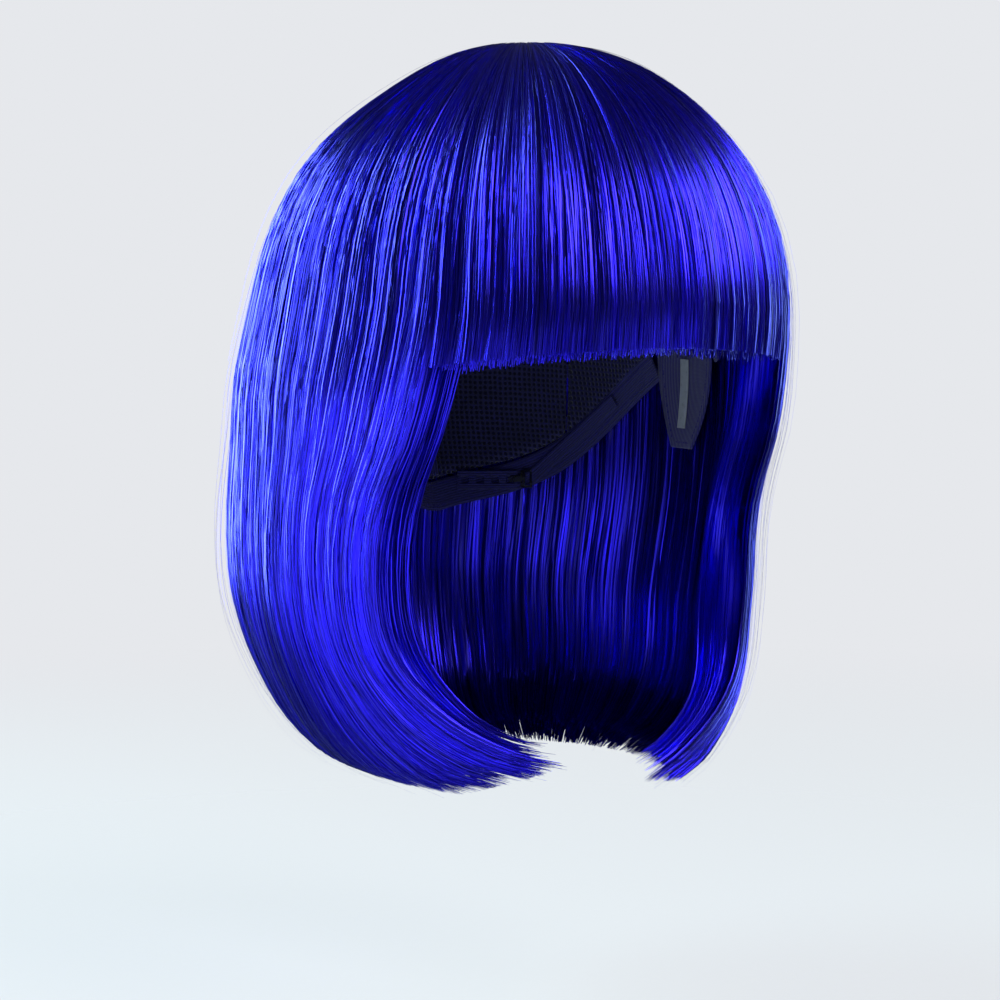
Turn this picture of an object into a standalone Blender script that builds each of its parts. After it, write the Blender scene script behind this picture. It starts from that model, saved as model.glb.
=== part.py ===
"""Costume wig: a blunt bob with a full fringe, wefted onto an elastic net cap.

Metres, +Z up. The face opening looks towards -Y and the wearer's left is +X. The origin is the inside
top of the crown net, where the wig sits on the head.

Angles named turn are measured round the head in degrees: 0 at the forehead, 90 over the wearer's left
ear, 180 at the nape and -90 over the right ear. Angles named fall are measured down the cap from its
top, so 90 is the cap's widest line.
"""

from math import acos, atan2, cos, degrees, pi, radians, sin

import bmesh
import bpy
from mathutils import Matrix, Vector

# The cap: an egg-shaped net for a head of about 56 cm round.
CAP_HALF_WIDTH = 0.078
CAP_HALF_LENGTH = 0.098
CAP_HEIGHT = 0.115
NET_THICK = 0.0008
BAND_THICK = 0.0014
BAND_FALL = 7.0
PANEL_GAP = 0.35
CROWN_FALL = 34.0
PATCH_FALL = 11.0
FRONT_SEAM = 45.0
BACK_SEAM = 135.0
EAR_TAB_FRONT = 80.5
EAR_TAB_BACK = 105.5
EAR_TAB_LENGTH = 0.045

# Turn and fall of the cap's lower edge: forehead, temple, ear, behind the ear, nape corner, nape.
CAP_EDGE = ((0, 66), (45, 72), (80, 88), (105, 92), (140, 114), (180, 122))

# Weft tracks: the sewn headers that the hair hangs from.
TRACK_WIDTH = 0.005
TRACK_THICK = 0.0015
TRACK_LIFT = 0.0013
BACK_TRACK_FALLS = (102, 91, 79, 66, 52)
SIDE_TRACK_FALLS = (75, 60)
FRINGE_TRACK_FALLS = (54, 43)
CROWN_TRACK_FALL = 16.0

# Ribs: elastic tapes inside the net.
RIB_WIDTH = 0.008
RIB_THICK = 0.001
RIB_DEPTH = -0.0024

# The hair's outer and inner surfaces. Each row: how far down, height, and the reach to the wearer's
# right, to the left, to the front and to the back. 1 is the widest line of the head, 2 the cut ends.
# Fullness is how square the dome is at the front and at the back: 2 is an ellipse.
HAIR_TOP = 0.018
HAIR_CLEAR = 0.0046
OUTER_FULLNESS = (2.25, 2.0)
INNER_FULLNESS = (2.0, 2.0)
OUTER = (
    (1.00, -0.115, 0.110, 0.105, 0.118, 0.128),
    (1.30, -0.163, 0.116, 0.098, 0.086, 0.139),
    (1.55, -0.205, 0.114, 0.094, 0.086, 0.138),
    (1.78, -0.240, 0.101, 0.087, 0.089, 0.121),
    (1.92, -0.261, 0.083, 0.070, 0.091, 0.098),
    (2.00, -0.270, 0.064, 0.053, 0.090, 0.068),
)
INNER = (
    (1.00, -0.115, 0.0826, 0.0826, 0.1026, 0.1026),
    (1.30, -0.163, 0.0850, 0.0790, 0.0660, 0.0960),
    (1.55, -0.205, 0.0840, 0.0730, 0.0630, 0.0980),
    (1.78, -0.240, 0.0740, 0.0690, 0.0720, 0.0900),
    (1.92, -0.256, 0.0650, 0.0570, 0.0780, 0.0760),
    (2.00, -0.262, 0.0520, 0.0450, 0.0780, 0.0560),
)
WHORL = 0.12
HAIRLINE = 0.76
HAIRLINE_GAP = 0.006
FRINGE_CUT = 0.967
NAPE_START = 1.26
OUTER_END = 2.0
MIDDLE_END = 1.96
NAPE_END = 1.92
LAYER_GAP = 0.045

# Where every layer of hair has its rows, so that the layers nest: down the dome, then to the ends.
ROWS_DOWN = (
    (WHORL, 0.26, 0.42, 0.59, HAIRLINE, 0.88, 1.0)
    + (1.13, NAPE_START, 1.40, 1.55, 1.67, 1.78, 1.86, NAPE_END, MIDDLE_END, OUTER_END)
)
SIDE_SEAM = 80.0
NAPE_SEAM = 140.0
SEAM_HALF_GAP = 0.0008

# Front locks: how far round each one's front edge lies, down the lock, and how high its tips turn up.
LOCK_EDGE = ((0.76, 45), (1.0, 46), (1.3, 50), (1.62, 50), (1.8, 41), (2.0, 20))
LEFT_TIP_RISE = 0.008
RIGHT_TIP_RISE = 0.022
LOCK_TIP_TURN = 55.0
LEFT_LOCK_EXTRA_SWEEP = 12.0
LOCK_SWING_TURN = 60.0

# The straps that take the cap in at the nape.
LADDER_OUTER_TURN = 150.0
LADDER_INNER_TURN = 171.0
LADDER_DEPTH = -0.0026
LADDER_WIDTH = 0.008
LADDER_THICK = 0.0008
SLOT_LENGTH = 0.0034
SLOT_WIDTH = 0.0036
SLOT_COUNT = 4
HOOK_LIFT = 0.0013
HOOK_REST = -0.0038
HOOK_THICK = 0.0009
HOOK_HALF_LENGTH = 0.0025
HOOK_HALF_WIDTH = 0.004
TONGUE_LENGTH = 0.0055
TONGUE_HALF_WIDTH = 0.0013
STRAP_WIDTH = 0.006
STRAP_THICK = 0.0008
STRAP_START_TURN = 119.0
STRAP_DEPTH = -0.0024
STRAP_GAP = 0.0006

SIDES = (("left", 1), ("right", -1))


def clear_scene():
    for obj in list(bpy.data.objects):
        bpy.data.objects.remove(obj, do_unlink=True)


def make_collection(name):
    collection = bpy.data.collections.new(name)
    bpy.context.scene.collection.children.link(collection)
    return collection


def make_material(name, colour, roughness, metallic=0.0):
    """A plain surface for a sub-part; colour is linear red, green and blue."""
    material = bpy.data.materials.new(name)
    material.use_nodes = True
    shader = material.node_tree.nodes["Principled BSDF"]
    shader.inputs["Base Color"].default_value = (*colour, 1.0)
    shader.inputs["Roughness"].default_value = roughness
    shader.inputs["Metallic"].default_value = metallic
    return material


def make_materials():
    return {
        "fibre": make_material("blue_fibre", (0.030, 0.018, 0.62), 0.35),
        "net": make_material("cap_net", (0.020, 0.016, 0.10), 0.80),
        "tape": make_material("elastic_tape", (0.016, 0.014, 0.07), 0.75),
        "skin": make_material("crown_base", (0.55, 0.52, 0.60), 0.60),
        "thread": make_material("weft_header", (0.020, 0.014, 0.30), 0.60),
        "steel": make_material("hook_steel", (0.60, 0.60, 0.62), 0.30, 1.0),
        "plastic": make_material("clear_stay", (0.55, 0.58, 0.60), 0.40),
    }


def smooth_between(points, at):
    """Reads a smooth line through rows of numbers, each led by its position, at one position."""
    last = len(points) - 1
    here = min(max(at, points[0][0]), points[last][0])
    low = max(i for i in range(last) if points[i][0] <= here)
    start, end = points[low], points[low + 1]
    before, after = points[max(low - 1, 0)], points[min(low + 2, last)]
    span = end[0] - start[0]
    share = (here - start[0]) / span
    out = []
    for k in range(1, len(start)):
        slope_in = (end[k] - before[k]) / (end[0] - before[0]) * span
        slope_out = (after[k] - start[k]) / (after[0] - start[0]) * span
        rise = end[k] - start[k]
        out.append(
            start[k]
            + slope_in * share
            + (3 * rise - 2 * slope_in - slope_out) * share**2
            + (slope_in + slope_out - 2 * rise) * share**3
        )
    return out


def ease(start, end, at):
    share = min(max((at - start) / (end - start), 0.0), 1.0)
    return share * share * (3 - 2 * share)


def cap_edge(turn):
    """The fall of the cap's lower edge at a turn from the forehead, either way."""
    around = abs((turn + 180) % 360 - 180)
    return smooth_between(CAP_EDGE, around)[0]


def cap_point(turn, fall, depth):
    """A point on the cap, depth outside its inner face."""
    t, f = radians(turn), radians(fall)
    return Vector((
        (CAP_HALF_WIDTH + depth) * sin(f) * sin(t),
        -(CAP_HALF_LENGTH + depth) * sin(f) * cos(t),
        -CAP_HEIGHT + (CAP_HEIGHT + depth) * cos(f),
    ))


def cap_angle(length, radius=CAP_HALF_LENGTH):
    """The angle in degrees that a length takes on the cap."""
    return degrees(length / radius)


def envelope(rows, top, fullness, turn, down):
    """A point on one of the hair's two surfaces: a full dome over the head, and rows below it."""
    t = radians(turn)
    if down <= 1:
        power = 2 / (fullness[0] + (fullness[1] - fullness[0]) * (1 - cos(t)) / 2)
        widest = rows[0]
        out = sin(down * pi / 2) ** power
        up = max(cos(down * pi / 2), 0.0) ** power
        height = widest[1] + (top - widest[1]) * up
        right, left, front, back = (reach * out for reach in widest[2:])
    else:
        height, right, left, front, back = smooth_between(rows, down)
    across = left if sin(t) > 0 else right
    along = front if cos(t) > 0 else back
    return Vector((across * sin(t), -along * cos(t), height))


def hair_point(turn, down, share):
    """A point in the hair: share is 0 on the side of the head and 1 on the outside."""
    inner = envelope(INNER, HAIR_CLEAR, INNER_FULLNESS, turn, down)
    outer = envelope(OUTER, HAIR_TOP, OUTER_FULLNESS, turn, down)
    return inner.lerp(outer, share)


def grid_mesh(columns, rows, closed_up):
    """A grid from 0 to 1 both ways; closed_up gives it a second layer and walls."""
    bm = bmesh.new()
    bmesh.ops.create_grid(bm, x_segments=columns, y_segments=rows, size=0.5)
    if closed_up:
        made = bmesh.ops.extrude_face_region(bm, geom=bm.faces[:])
        raised = [item for item in made["geom"] if isinstance(item, bmesh.types.BMVert)]
        bmesh.ops.translate(bm, verts=raised, vec=(0, 0, 1))
    bmesh.ops.translate(bm, verts=bm.verts[:], vec=(0.5, 0.5, 0))
    return bm


def finish(bm, name, collection, material, pivot=Vector()):
    """Makes the object, with its origin at pivot."""
    bmesh.ops.translate(bm, verts=bm.verts[:], vec=-pivot)
    mesh = bpy.data.meshes.new(name)
    bm.to_mesh(mesh)
    bm.free()
    mesh.shade_smooth()
    mesh.set_sharp_from_angle(angle=radians(40))
    mesh.materials.append(material)
    obj = bpy.data.objects.new(name, mesh)
    obj.location = pivot
    collection.objects.link(obj)
    return obj


def solid(name, columns, rows, place, collection, material, pivot=Vector()):
    """A closed body from a two-layer grid; place takes its three shares, each 0 to 1."""
    bm = grid_mesh(columns, rows, True)
    for vert in bm.verts:
        vert.co = place(*vert.co)
    bmesh.ops.recalc_face_normals(bm, faces=bm.faces[:])
    return finish(bm, name, collection, material, pivot)


def sheet(name, columns, rows, place, thick, collection, material, pivot=Vector()):
    """A thin shell: an open grid, thickened away from the middle of the head."""
    bm = grid_mesh(columns, rows, False)
    for vert in bm.verts:
        vert.co = place(vert.co.x, vert.co.y)
    bmesh.ops.remove_doubles(bm, verts=bm.verts[:], dist=1e-6)
    bm.normal_update()
    middle = Vector((0, 0, -CAP_HEIGHT))
    facing = sum(face.normal.dot(face.calc_center_median() - middle) for face in bm.faces)
    if facing < 0:
        bmesh.ops.reverse_faces(bm, faces=bm.faces[:])
    obj = finish(bm, name, collection, material, pivot)
    thicken = obj.modifiers.new("thickness", "SOLIDIFY")
    thicken.thickness = thick
    thicken.offset = 1.0
    thicken.use_even_offset = True
    return obj


def disc_spot(across, along):
    """Turns a square's two shares, 0 to 1, into a turn and a share of a disc's radius."""
    a, b = 2 * across - 1, 2 * along - 1
    reach = max(abs(a), abs(b))
    return degrees(atan2(a, b)), reach


def make_net(collection, material):
    """The crown panel and the four panels below it."""

    def crown(a, b):
        turn, reach = disc_spot(a, b)
        return cap_point(turn, CROWN_FALL * reach, 0)

    sheet("net_crown", 8, 8, crown, NET_THICK, collection, material)
    seams = (
        ("net_front", -FRONT_SEAM, FRONT_SEAM),
        ("net_left", FRONT_SEAM, BACK_SEAM),
        ("net_back", BACK_SEAM, 360 - BACK_SEAM),
        ("net_right", -BACK_SEAM, -FRONT_SEAM),
    )
    for name, start, end in seams:

        def panel(a, b, start=start, end=end):
            turn = start + PANEL_GAP + (end - start - 2 * PANEL_GAP) * a
            low = cap_edge(turn) - BAND_FALL - PANEL_GAP
            return cap_point(turn, CROWN_FALL + 2 * PANEL_GAP + (low - CROWN_FALL - 2 * PANEL_GAP) * b, 0)

        sheet(name, 9, 6, panel, NET_THICK, collection, material)


def make_bands(collection, material):
    """The soft band along the forehead and the elastic one along the nape."""
    spans = (
        ("front_band", 1 - EAR_TAB_FRONT, EAR_TAB_FRONT - 1, 20),
        ("nape_band", EAR_TAB_BACK + 1, 359 - EAR_TAB_BACK, 18),
    )
    for name, start, end, columns in spans:

        def band(a, b, start=start, end=end):
            turn = start + (end - start) * a
            return cap_point(turn, cap_edge(turn) - BAND_FALL * (1 - b) + PANEL_GAP * (1 - b), 0)

        sheet(name, columns, 1, band, BAND_THICK, collection, material)


def make_crown(collection, base, fibre):
    """The skin-like base of the whorl, and the knotted closure that the crown hair starts from."""

    def patch(a, b):
        turn, reach = disc_spot(a, b)
        return cap_point(turn, PATCH_FALL * reach, NET_THICK + 0.0005)

    sheet("crown_patch", 6, 6, patch, NET_THICK, collection, base)
    bm = bmesh.new()
    foot, rim, lip = 0.0145, 0.0205, 0.0120
    profile = ((0, 0.0032), (foot, 0.0030), (rim, 0.0160), (lip, HAIR_TOP), (0, HAIR_TOP - 0.003))
    verts = [bm.verts.new((radius, 0, height)) for radius, height in profile]
    for start, end in zip(verts, verts[1:]):
        bm.edges.new((start, end))
    bmesh.ops.spin(
        bm, geom=bm.verts[:] + bm.edges[:], cent=(0, 0, 0), axis=(0, 0, 1), angle=2 * pi, steps=20
    )
    bmesh.ops.remove_doubles(bm, verts=bm.verts[:], dist=1e-5)
    bmesh.ops.recalc_face_normals(bm, faces=bm.faces[:])
    finish(bm, "crown_closure", collection, fibre)


def make_ribs(collection, material):
    """Elastic tapes inside the net: down the middle of the back and over each ear."""
    half = cap_angle(RIB_WIDTH) / 2
    for name, turn in (("center_rib", 180), ("side_rib_left", 76), ("side_rib_right", -76)):
        low = cap_edge(turn) - BAND_FALL - 1

        def rib(a, b, turn=turn, low=low):
            fall = 20 + (low - 20) * b
            spread = half * (2 * a - 1) / max(sin(radians(fall)), 0.3)
            return cap_point(turn + spread, fall, RIB_DEPTH)

        sheet(name, 1, 9, rib, RIB_THICK, collection, material)


def make_track(name, start, end, fall, columns, collection, material):
    half = cap_angle(TRACK_WIDTH) / 2

    def strip(a, b):
        return cap_point(start + (end - start) * a, fall + half * (2 * b - 1), TRACK_LIFT)

    sheet(name, columns, 1, strip, TRACK_THICK, collection, material)


def track_reach(fall):
    """How far from the nape's middle a track can run before it meets the band."""
    turn = 180.0
    while turn > EAR_TAB_FRONT and cap_edge(turn) - BAND_FALL - 3 > fall:
        turn -= 1
    return turn


def make_tracks(collection, material):
    """The sewn headers: five rows at the back, two on each side, two for the fringe, one at the crown."""
    for row, fall in enumerate(BACK_TRACK_FALLS, 1):
        reach = max(track_reach(fall), EAR_TAB_BACK)
        make_track(f"back_track_{row}", reach, 360 - reach, fall, 18, collection, material)
    for row, fall in enumerate(SIDE_TRACK_FALLS, 1):
        front = 52 if fall < 70 else 70
        make_track(f"side_track_left_{row}", front, 103, fall, 7, collection, material)
        make_track(f"side_track_right_{row}", -103, -front, fall, 7, collection, material)
    for row, fall in enumerate(FRINGE_TRACK_FALLS, 1):
        make_track(f"fringe_track_{row}", -43, 43, fall, 12, collection, material)
    make_track("crown_track", 0, 360, CROWN_TRACK_FALL, 24, collection, material)


def ear_tab_pivot(side):
    """The line along the tab's top that it bends about."""
    middle = (EAR_TAB_FRONT + EAR_TAB_BACK) / 2
    fall = cap_edge(middle) - BAND_FALL
    top = cap_point(side * middle, fall, BAND_THICK / 2)
    return Vector((top.x, top.y, top.z))


def make_ear_tabs(collection, tape, plastic):
    """The tabs in front of the ears, each with a stay that can be bent to the temple."""
    middle = (EAR_TAB_FRONT + EAR_TAB_BACK) / 2
    half = (EAR_TAB_BACK - EAR_TAB_FRONT) / 2
    top = cap_edge(middle) - BAND_FALL + 2 * PANEL_GAP
    bottom = top + cap_angle(EAR_TAB_LENGTH, CAP_HEIGHT)
    for name, side in SIDES:

        def tab(a, b, side=side):
            width = half * (1 - 0.62 * b**2.2)
            edge_rise = cap_edge(middle + half * (2 * a - 1)) - cap_edge(middle)
            fall = top + (bottom - top) * b + edge_rise * (1 - b)
            return cap_point(side * (middle + width * (2 * a - 1)), fall, 0)

        def stay(a, b, side=side):
            fall = top + 4 + (bottom - top - 8) * b
            return cap_point(side * (middle + 1.5 * (2 * a - 1)), fall, -0.0016)

        pivot = ear_tab_pivot(side)
        sheet(f"ear_tab_{name}", 4, 6, tab, BAND_THICK, collection, tape, pivot)
        sheet(f"ear_stay_{name}", 1, 5, stay, 0.0008, collection, plastic, pivot)


def nape_frame(side):
    """The strap line at the nape: axes along it, up the cap and into the head, and its start."""
    fall = cap_edge(160) - BAND_FALL / 2
    start = cap_point(side * LADDER_OUTER_TURN, fall, LADDER_DEPTH)
    end = cap_point(side * LADDER_INNER_TURN, fall, LADDER_DEPTH)
    along = (end - start).normalized()
    turn = side * (LADDER_OUTER_TURN + LADDER_INNER_TURN) / 2
    up = cap_point(turn, fall - 2, 0) - cap_point(turn, fall + 2, 0)
    inward = along.cross(up).normalized()
    if inward.y > 0:
        inward.negate()
    up = inward.cross(along)
    if up.z < 0:
        up.negate()
    return start, along, up, inward, (end - start).length


def flat_outline(name, loops, thick, matrix, collection, material):
    """A flat plate: closed outlines in the plane, the first one outside and the others holes."""
    curve = bpy.data.curves.new(name, "CURVE")
    curve.dimensions = "2D"
    curve.fill_mode = "BOTH"
    curve.extrude = thick / 2
    for loop in loops:
        spline = curve.splines.new("POLY")
        spline.points.add(len(loop) - 1)
        for point, (x, y) in zip(spline.points, loop):
            point.co = (x, y, 0, 1)
        spline.use_cyclic_u = True
    curve.materials.append(material)
    obj = bpy.data.objects.new(name, curve)
    obj.matrix_world = matrix
    collection.objects.link(obj)
    weld = obj.modifiers.new("weld_caps", "WELD")
    weld.merge_threshold = 0.00001
    return obj


def box_outline(left, right, low, high):
    return [(left, low), (right, low), (right, high), (left, high)]


def plate_matrix(origin, along, up):
    """Places a plate's own x along the strap line and its y up the cap."""
    matrix = Matrix((along, up, along.cross(up))).transposed().to_4x4()
    matrix.translation = origin
    return matrix


def make_strap_parts(collection, tape, steel):
    """On each side of the nape: an elastic strap, the hook on its end, and the ladder it hooks into."""
    tongue_tip = HOOK_HALF_LENGTH + TONGUE_LENGTH
    hook_outline = [
        (-HOOK_HALF_LENGTH, -HOOK_HALF_WIDTH),
        (HOOK_HALF_LENGTH, -HOOK_HALF_WIDTH),
        (HOOK_HALF_LENGTH, -TONGUE_HALF_WIDTH),
        (tongue_tip - TONGUE_HALF_WIDTH, -TONGUE_HALF_WIDTH),
        (tongue_tip, 0),
        (tongue_tip - TONGUE_HALF_WIDTH, TONGUE_HALF_WIDTH),
        (HOOK_HALF_LENGTH, TONGUE_HALF_WIDTH),
        (HOOK_HALF_LENGTH, HOOK_HALF_WIDTH),
        (-HOOK_HALF_LENGTH, HOOK_HALF_WIDTH),
    ]
    strap_eye = box_outline(-0.0014, 0.0006, -STRAP_WIDTH / 2, STRAP_WIDTH / 2)
    for name, side in SIDES:
        start, along, up, inward, length = nape_frame(side)
        pitch = length / SLOT_COUNT
        slots = [
            box_outline(
                pitch * (k + 0.5) - SLOT_LENGTH / 2,
                pitch * (k + 0.5) + SLOT_LENGTH / 2,
                -SLOT_WIDTH / 2,
                SLOT_WIDTH / 2,
            )
            for k in range(SLOT_COUNT)
        ]
        rim = box_outline(0, length, -LADDER_WIDTH / 2, LADDER_WIDTH / 2)
        ladder_at = plate_matrix(start, along, up)
        flat_outline(f"hook_ladder_{name}", [rim, *slots], LADDER_THICK, ladder_at, collection, tape)
        hook_at = start + inward * HOOK_LIFT + along * HOOK_REST
        hook_matrix = plate_matrix(hook_at, along, up)
        flat_outline(
            f"strap_hook_{name}", [hook_outline, strap_eye], HOOK_THICK, hook_matrix, collection, steel
        )
        strap_end = hook_at - along * (HOOK_HALF_LENGTH + STRAP_GAP)
        make_strap(f"adjust_strap_{name}", side, strap_end, up, collection, tape)


def cap_spot(point, depth):
    """The turn and fall of a point that lies about depth from the cap's inner face."""
    turn = atan2(point.x / (CAP_HALF_WIDTH + depth), -point.y / (CAP_HALF_LENGTH + depth))
    fall = acos((point.z + CAP_HEIGHT) / (CAP_HEIGHT + depth))
    return degrees(turn), degrees(fall)


def make_strap(name, side, end, up, collection, material):
    """An elastic strap from behind the ear, along the inside of the nape, to its hook."""
    first_turn = side * STRAP_START_TURN
    first_fall = cap_edge(first_turn) - BAND_FALL / 2
    last_turn, last_fall = cap_spot(end, STRAP_DEPTH)
    miss = end - cap_point(last_turn, last_fall, STRAP_DEPTH)

    def strap(a, b):
        turn = first_turn + (last_turn - first_turn) * a
        fall = first_fall + (last_fall - first_fall) * a
        middle = cap_point(turn, fall, STRAP_DEPTH) + miss * a**3
        here_up = (cap_point(turn, fall - 1, STRAP_DEPTH) - cap_point(turn, fall + 1, STRAP_DEPTH)).normalized()
        return middle + here_up.lerp(up, a**2).normalized() * STRAP_WIDTH * (0.5 - b)

    sheet(name, 8, 1, strap, STRAP_THICK, collection, material)


def lock_edge(side, down):
    """The turn of a front lock's front edge: the left one's tips sweep further under the chin."""
    edge = smooth_between(LOCK_EDGE, down)[0]
    if side > 0:
        edge -= LEFT_LOCK_EXTRA_SWEEP * ease(1.7, 2.0, down)
    return edge


def seam_gap(down):
    """Half the gap at a seam between two bodies of hair, as a turn."""
    return cap_angle(SEAM_HALF_GAP, OUTER[0][2] * sin(min(down, 1) * pi / 2))


def outer_layer_floor(down):
    """Where the outer layer's underside lies, as a share of the hair's thickness."""
    return 0.66 * ease(0.5, 1.05, down)


def middle_layer_floor(down):
    return 0.33 * ease(1.0, 1.45, down)


def tip_rise(turn):
    """How much higher the cut ends are in front, where the locks curl round under the chin."""
    from_front = (turn + 180) % 360 - 180
    rise = LEFT_TIP_RISE if from_front > 0 else RIGHT_TIP_RISE
    return rise * max(1 - abs(from_front) / LOCK_TIP_TURN, 0)


def rows_between(start, end):
    return [start] + [row for row in ROWS_DOWN if start < row < end] + [end]


def hair_body(name, spans, start, end, floor, ceiling, columns, collection, material, pivot=Vector()):
    """A closed body of hair between two turns, from one row down to another, in one layer."""
    rows = rows_between(start, end)

    def place(a, b, layer):
        down = rows[round(b * (len(rows) - 1))]
        first, last = spans(down)
        turn = first + (last - first) * a
        share = floor(down) if layer < 0.5 else ceiling(down)
        point = hair_point(turn, down, share)
        point.z += tip_rise(turn) * ease(1.6, 2.0, down)
        return point

    return solid(name, columns, len(rows) - 1, place, collection, material, pivot)


def fringe_pivot():
    """The hairline that the fringe lifts about: the front of its top edge."""
    return Vector((0, *hair_point(0, HAIRLINE, 1)[1:]))


def lock_pivot(side):
    """The temple line that a front lock lifts about."""
    return hair_point(side * LOCK_SWING_TURN, HAIRLINE, 1)


def make_crown_hair(collection, fibre):
    """The hair over the top of the head, from the whorl to the hairline."""
    sectors = (
        ("crown_hair_front", -FRONT_SEAM, FRONT_SEAM, 9),
        ("crown_hair_left", FRONT_SEAM, SIDE_SEAM, 4),
        ("crown_hair_right", -SIDE_SEAM, -FRONT_SEAM, 4),
    )
    for name, first, last, columns in sectors:
        hair_body(
            name,
            lambda down, first=first, last=last: (first + seam_gap(down), last - seam_gap(down)),
            WHORL,
            HAIRLINE - HAIRLINE_GAP,
            lambda down: 0,
            lambda down: 1,
            columns,
            collection,
            fibre,
        )


def make_fringe(collection, fibre):
    """The blunt fringe in two layers, hanging from the hairline to the brows."""
    layers = (("fringe_inner", 0.14, 0.50), ("fringe_outer", 0.56, 1.0))
    for name, floor, ceiling in layers:
        hair_body(
            name,
            lambda down: (seam_gap(down) - FRONT_SEAM, FRONT_SEAM - seam_gap(down)),
            HAIRLINE,
            FRINGE_CUT,
            lambda down, floor=floor: floor,
            lambda down, ceiling=ceiling: ceiling,
            9,
            collection,
            fibre,
            fringe_pivot(),
        )


def make_front_locks(collection, fibre):
    """The lock in front of each ear, in two layers, its tips curling in under the jaw."""
    for name, side in SIDES:

        def spans(down, side=side):
            gap = seam_gap(down)
            ends = (side * (lock_edge(side, down) + gap), side * (SIDE_SEAM - gap))
            return min(ends), max(ends)

        layers = (("inner", 0.10, 0.50, MIDDLE_END), ("outer", 0.54, 1.0, OUTER_END))
        for layer, floor, ceiling, end in layers:
            hair_body(
                f"side_lock_{layer}_{name}",
                spans,
                HAIRLINE,
                end,
                lambda down, floor=floor: floor,
                lambda down, ceiling=ceiling: ceiling,
                5,
                collection,
                fibre,
                lock_pivot(side),
            )


def make_back_hair(collection, fibre):
    """Behind the ears: the outer layer from the whorl, the middle one and the nape one."""
    sectors = (
        ("left", SIDE_SEAM, NAPE_SEAM, 6),
        ("center", NAPE_SEAM, 360 - NAPE_SEAM, 8),
        ("right", 360 - NAPE_SEAM, 360 - SIDE_SEAM, 6),
    )

    def middle_top(down):
        return outer_layer_floor(down) - LAYER_GAP

    def nape_top(down):
        return middle_layer_floor(down) - LAYER_GAP

    layers = (
        ("back_hair", WHORL, OUTER_END, outer_layer_floor, lambda down: 1.0),
        ("under_hair", HAIRLINE, MIDDLE_END, middle_layer_floor, middle_top),
        ("nape_hair", NAPE_START, NAPE_END, lambda down: 0.0, nape_top),
    )
    for layer, start, end, floor, ceiling in layers:
        for sector, first, last, columns in sectors:
            hair_body(
                f"{layer}_{sector}",
                lambda down, first=first, last=last: (first + seam_gap(down), last - seam_gap(down)),
                start,
                end,
                floor,
                ceiling,
                columns,
                collection,
                fibre,
            )


def main():
    clear_scene()
    collection = make_collection("costume_wig")
    materials = make_materials()
    make_net(collection, materials["net"])
    make_bands(collection, materials["tape"])
    make_crown(collection, materials["skin"], materials["fibre"])
    make_ribs(collection, materials["tape"])
    make_tracks(collection, materials["thread"])
    make_ear_tabs(collection, materials["tape"], materials["plastic"])
    make_strap_parts(collection, materials["tape"], materials["steel"])
    make_crown_hair(collection, materials["fibre"])
    make_fringe(collection, materials["fibre"])
    make_front_locks(collection, materials["fibre"])
    make_back_hair(collection, materials["fibre"])


main()
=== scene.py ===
"""Costume wig: the look of a blue blunt-cut bob with a full fringe, on a stretch-net cap.

Metres, +Z up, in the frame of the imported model. The face opening looks towards -Y and the wearer's
left is +X. Turn is the angle round the head in degrees: 0 at the forehead, 90 over the left ear, 180
at the nape. Fall is the angle down the cap from its top. Down runs along the hair: 0 at the crown,
1 at the widest line of the head, 2 at the cut ends. Share runs through the hair's thickness, from 0
on the head's side to 1 outside.
"""

from math import cos, degrees, pi, radians, sin

import bpy
import numpy as np
from bpy.props import FloatProperty, FloatVectorProperty, IntProperty, PointerProperty
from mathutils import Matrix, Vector


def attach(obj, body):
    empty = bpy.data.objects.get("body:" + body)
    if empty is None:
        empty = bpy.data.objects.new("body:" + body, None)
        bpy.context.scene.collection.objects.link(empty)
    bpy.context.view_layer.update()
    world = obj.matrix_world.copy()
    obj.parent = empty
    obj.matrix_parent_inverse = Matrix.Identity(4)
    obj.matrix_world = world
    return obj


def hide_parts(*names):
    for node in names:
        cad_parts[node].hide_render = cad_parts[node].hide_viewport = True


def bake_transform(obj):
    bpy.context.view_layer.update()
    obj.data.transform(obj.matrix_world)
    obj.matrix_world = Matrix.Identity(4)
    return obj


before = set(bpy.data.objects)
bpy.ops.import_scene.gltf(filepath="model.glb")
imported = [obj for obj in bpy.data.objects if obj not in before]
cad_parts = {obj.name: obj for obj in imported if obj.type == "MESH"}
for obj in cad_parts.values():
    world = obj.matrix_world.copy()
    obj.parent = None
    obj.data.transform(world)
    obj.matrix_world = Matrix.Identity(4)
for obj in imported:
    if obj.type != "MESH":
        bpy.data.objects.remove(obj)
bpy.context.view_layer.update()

bl_info = {
    "name": "Costume wig",
    "version": (1, 0, 0),
    "blender": (4, 5, 0),
    "location": "View3D > Sidebar > Wig",
    "description": "Builds a blunt-cut fibre wig on a stretch-net cap around its packed model",
    "category": "Mesh",
}

# The cap, as in the model.
CAP_HALF_WIDTH = 0.078
CAP_HALF_LENGTH = 0.098
CAP_HEIGHT = 0.115
BAND_FALL = 7.0
CROWN_FALL = 34.0
FRONT_SEAM = 45.0
BACK_SEAM = 135.0
EAR_TAB_FRONT = 80.5
EAR_TAB_BACK = 105.5
CAP_EDGE = ((0, 66), (45, 72), (80, 88), (105, 92), (140, 114), (180, 122))

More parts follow.
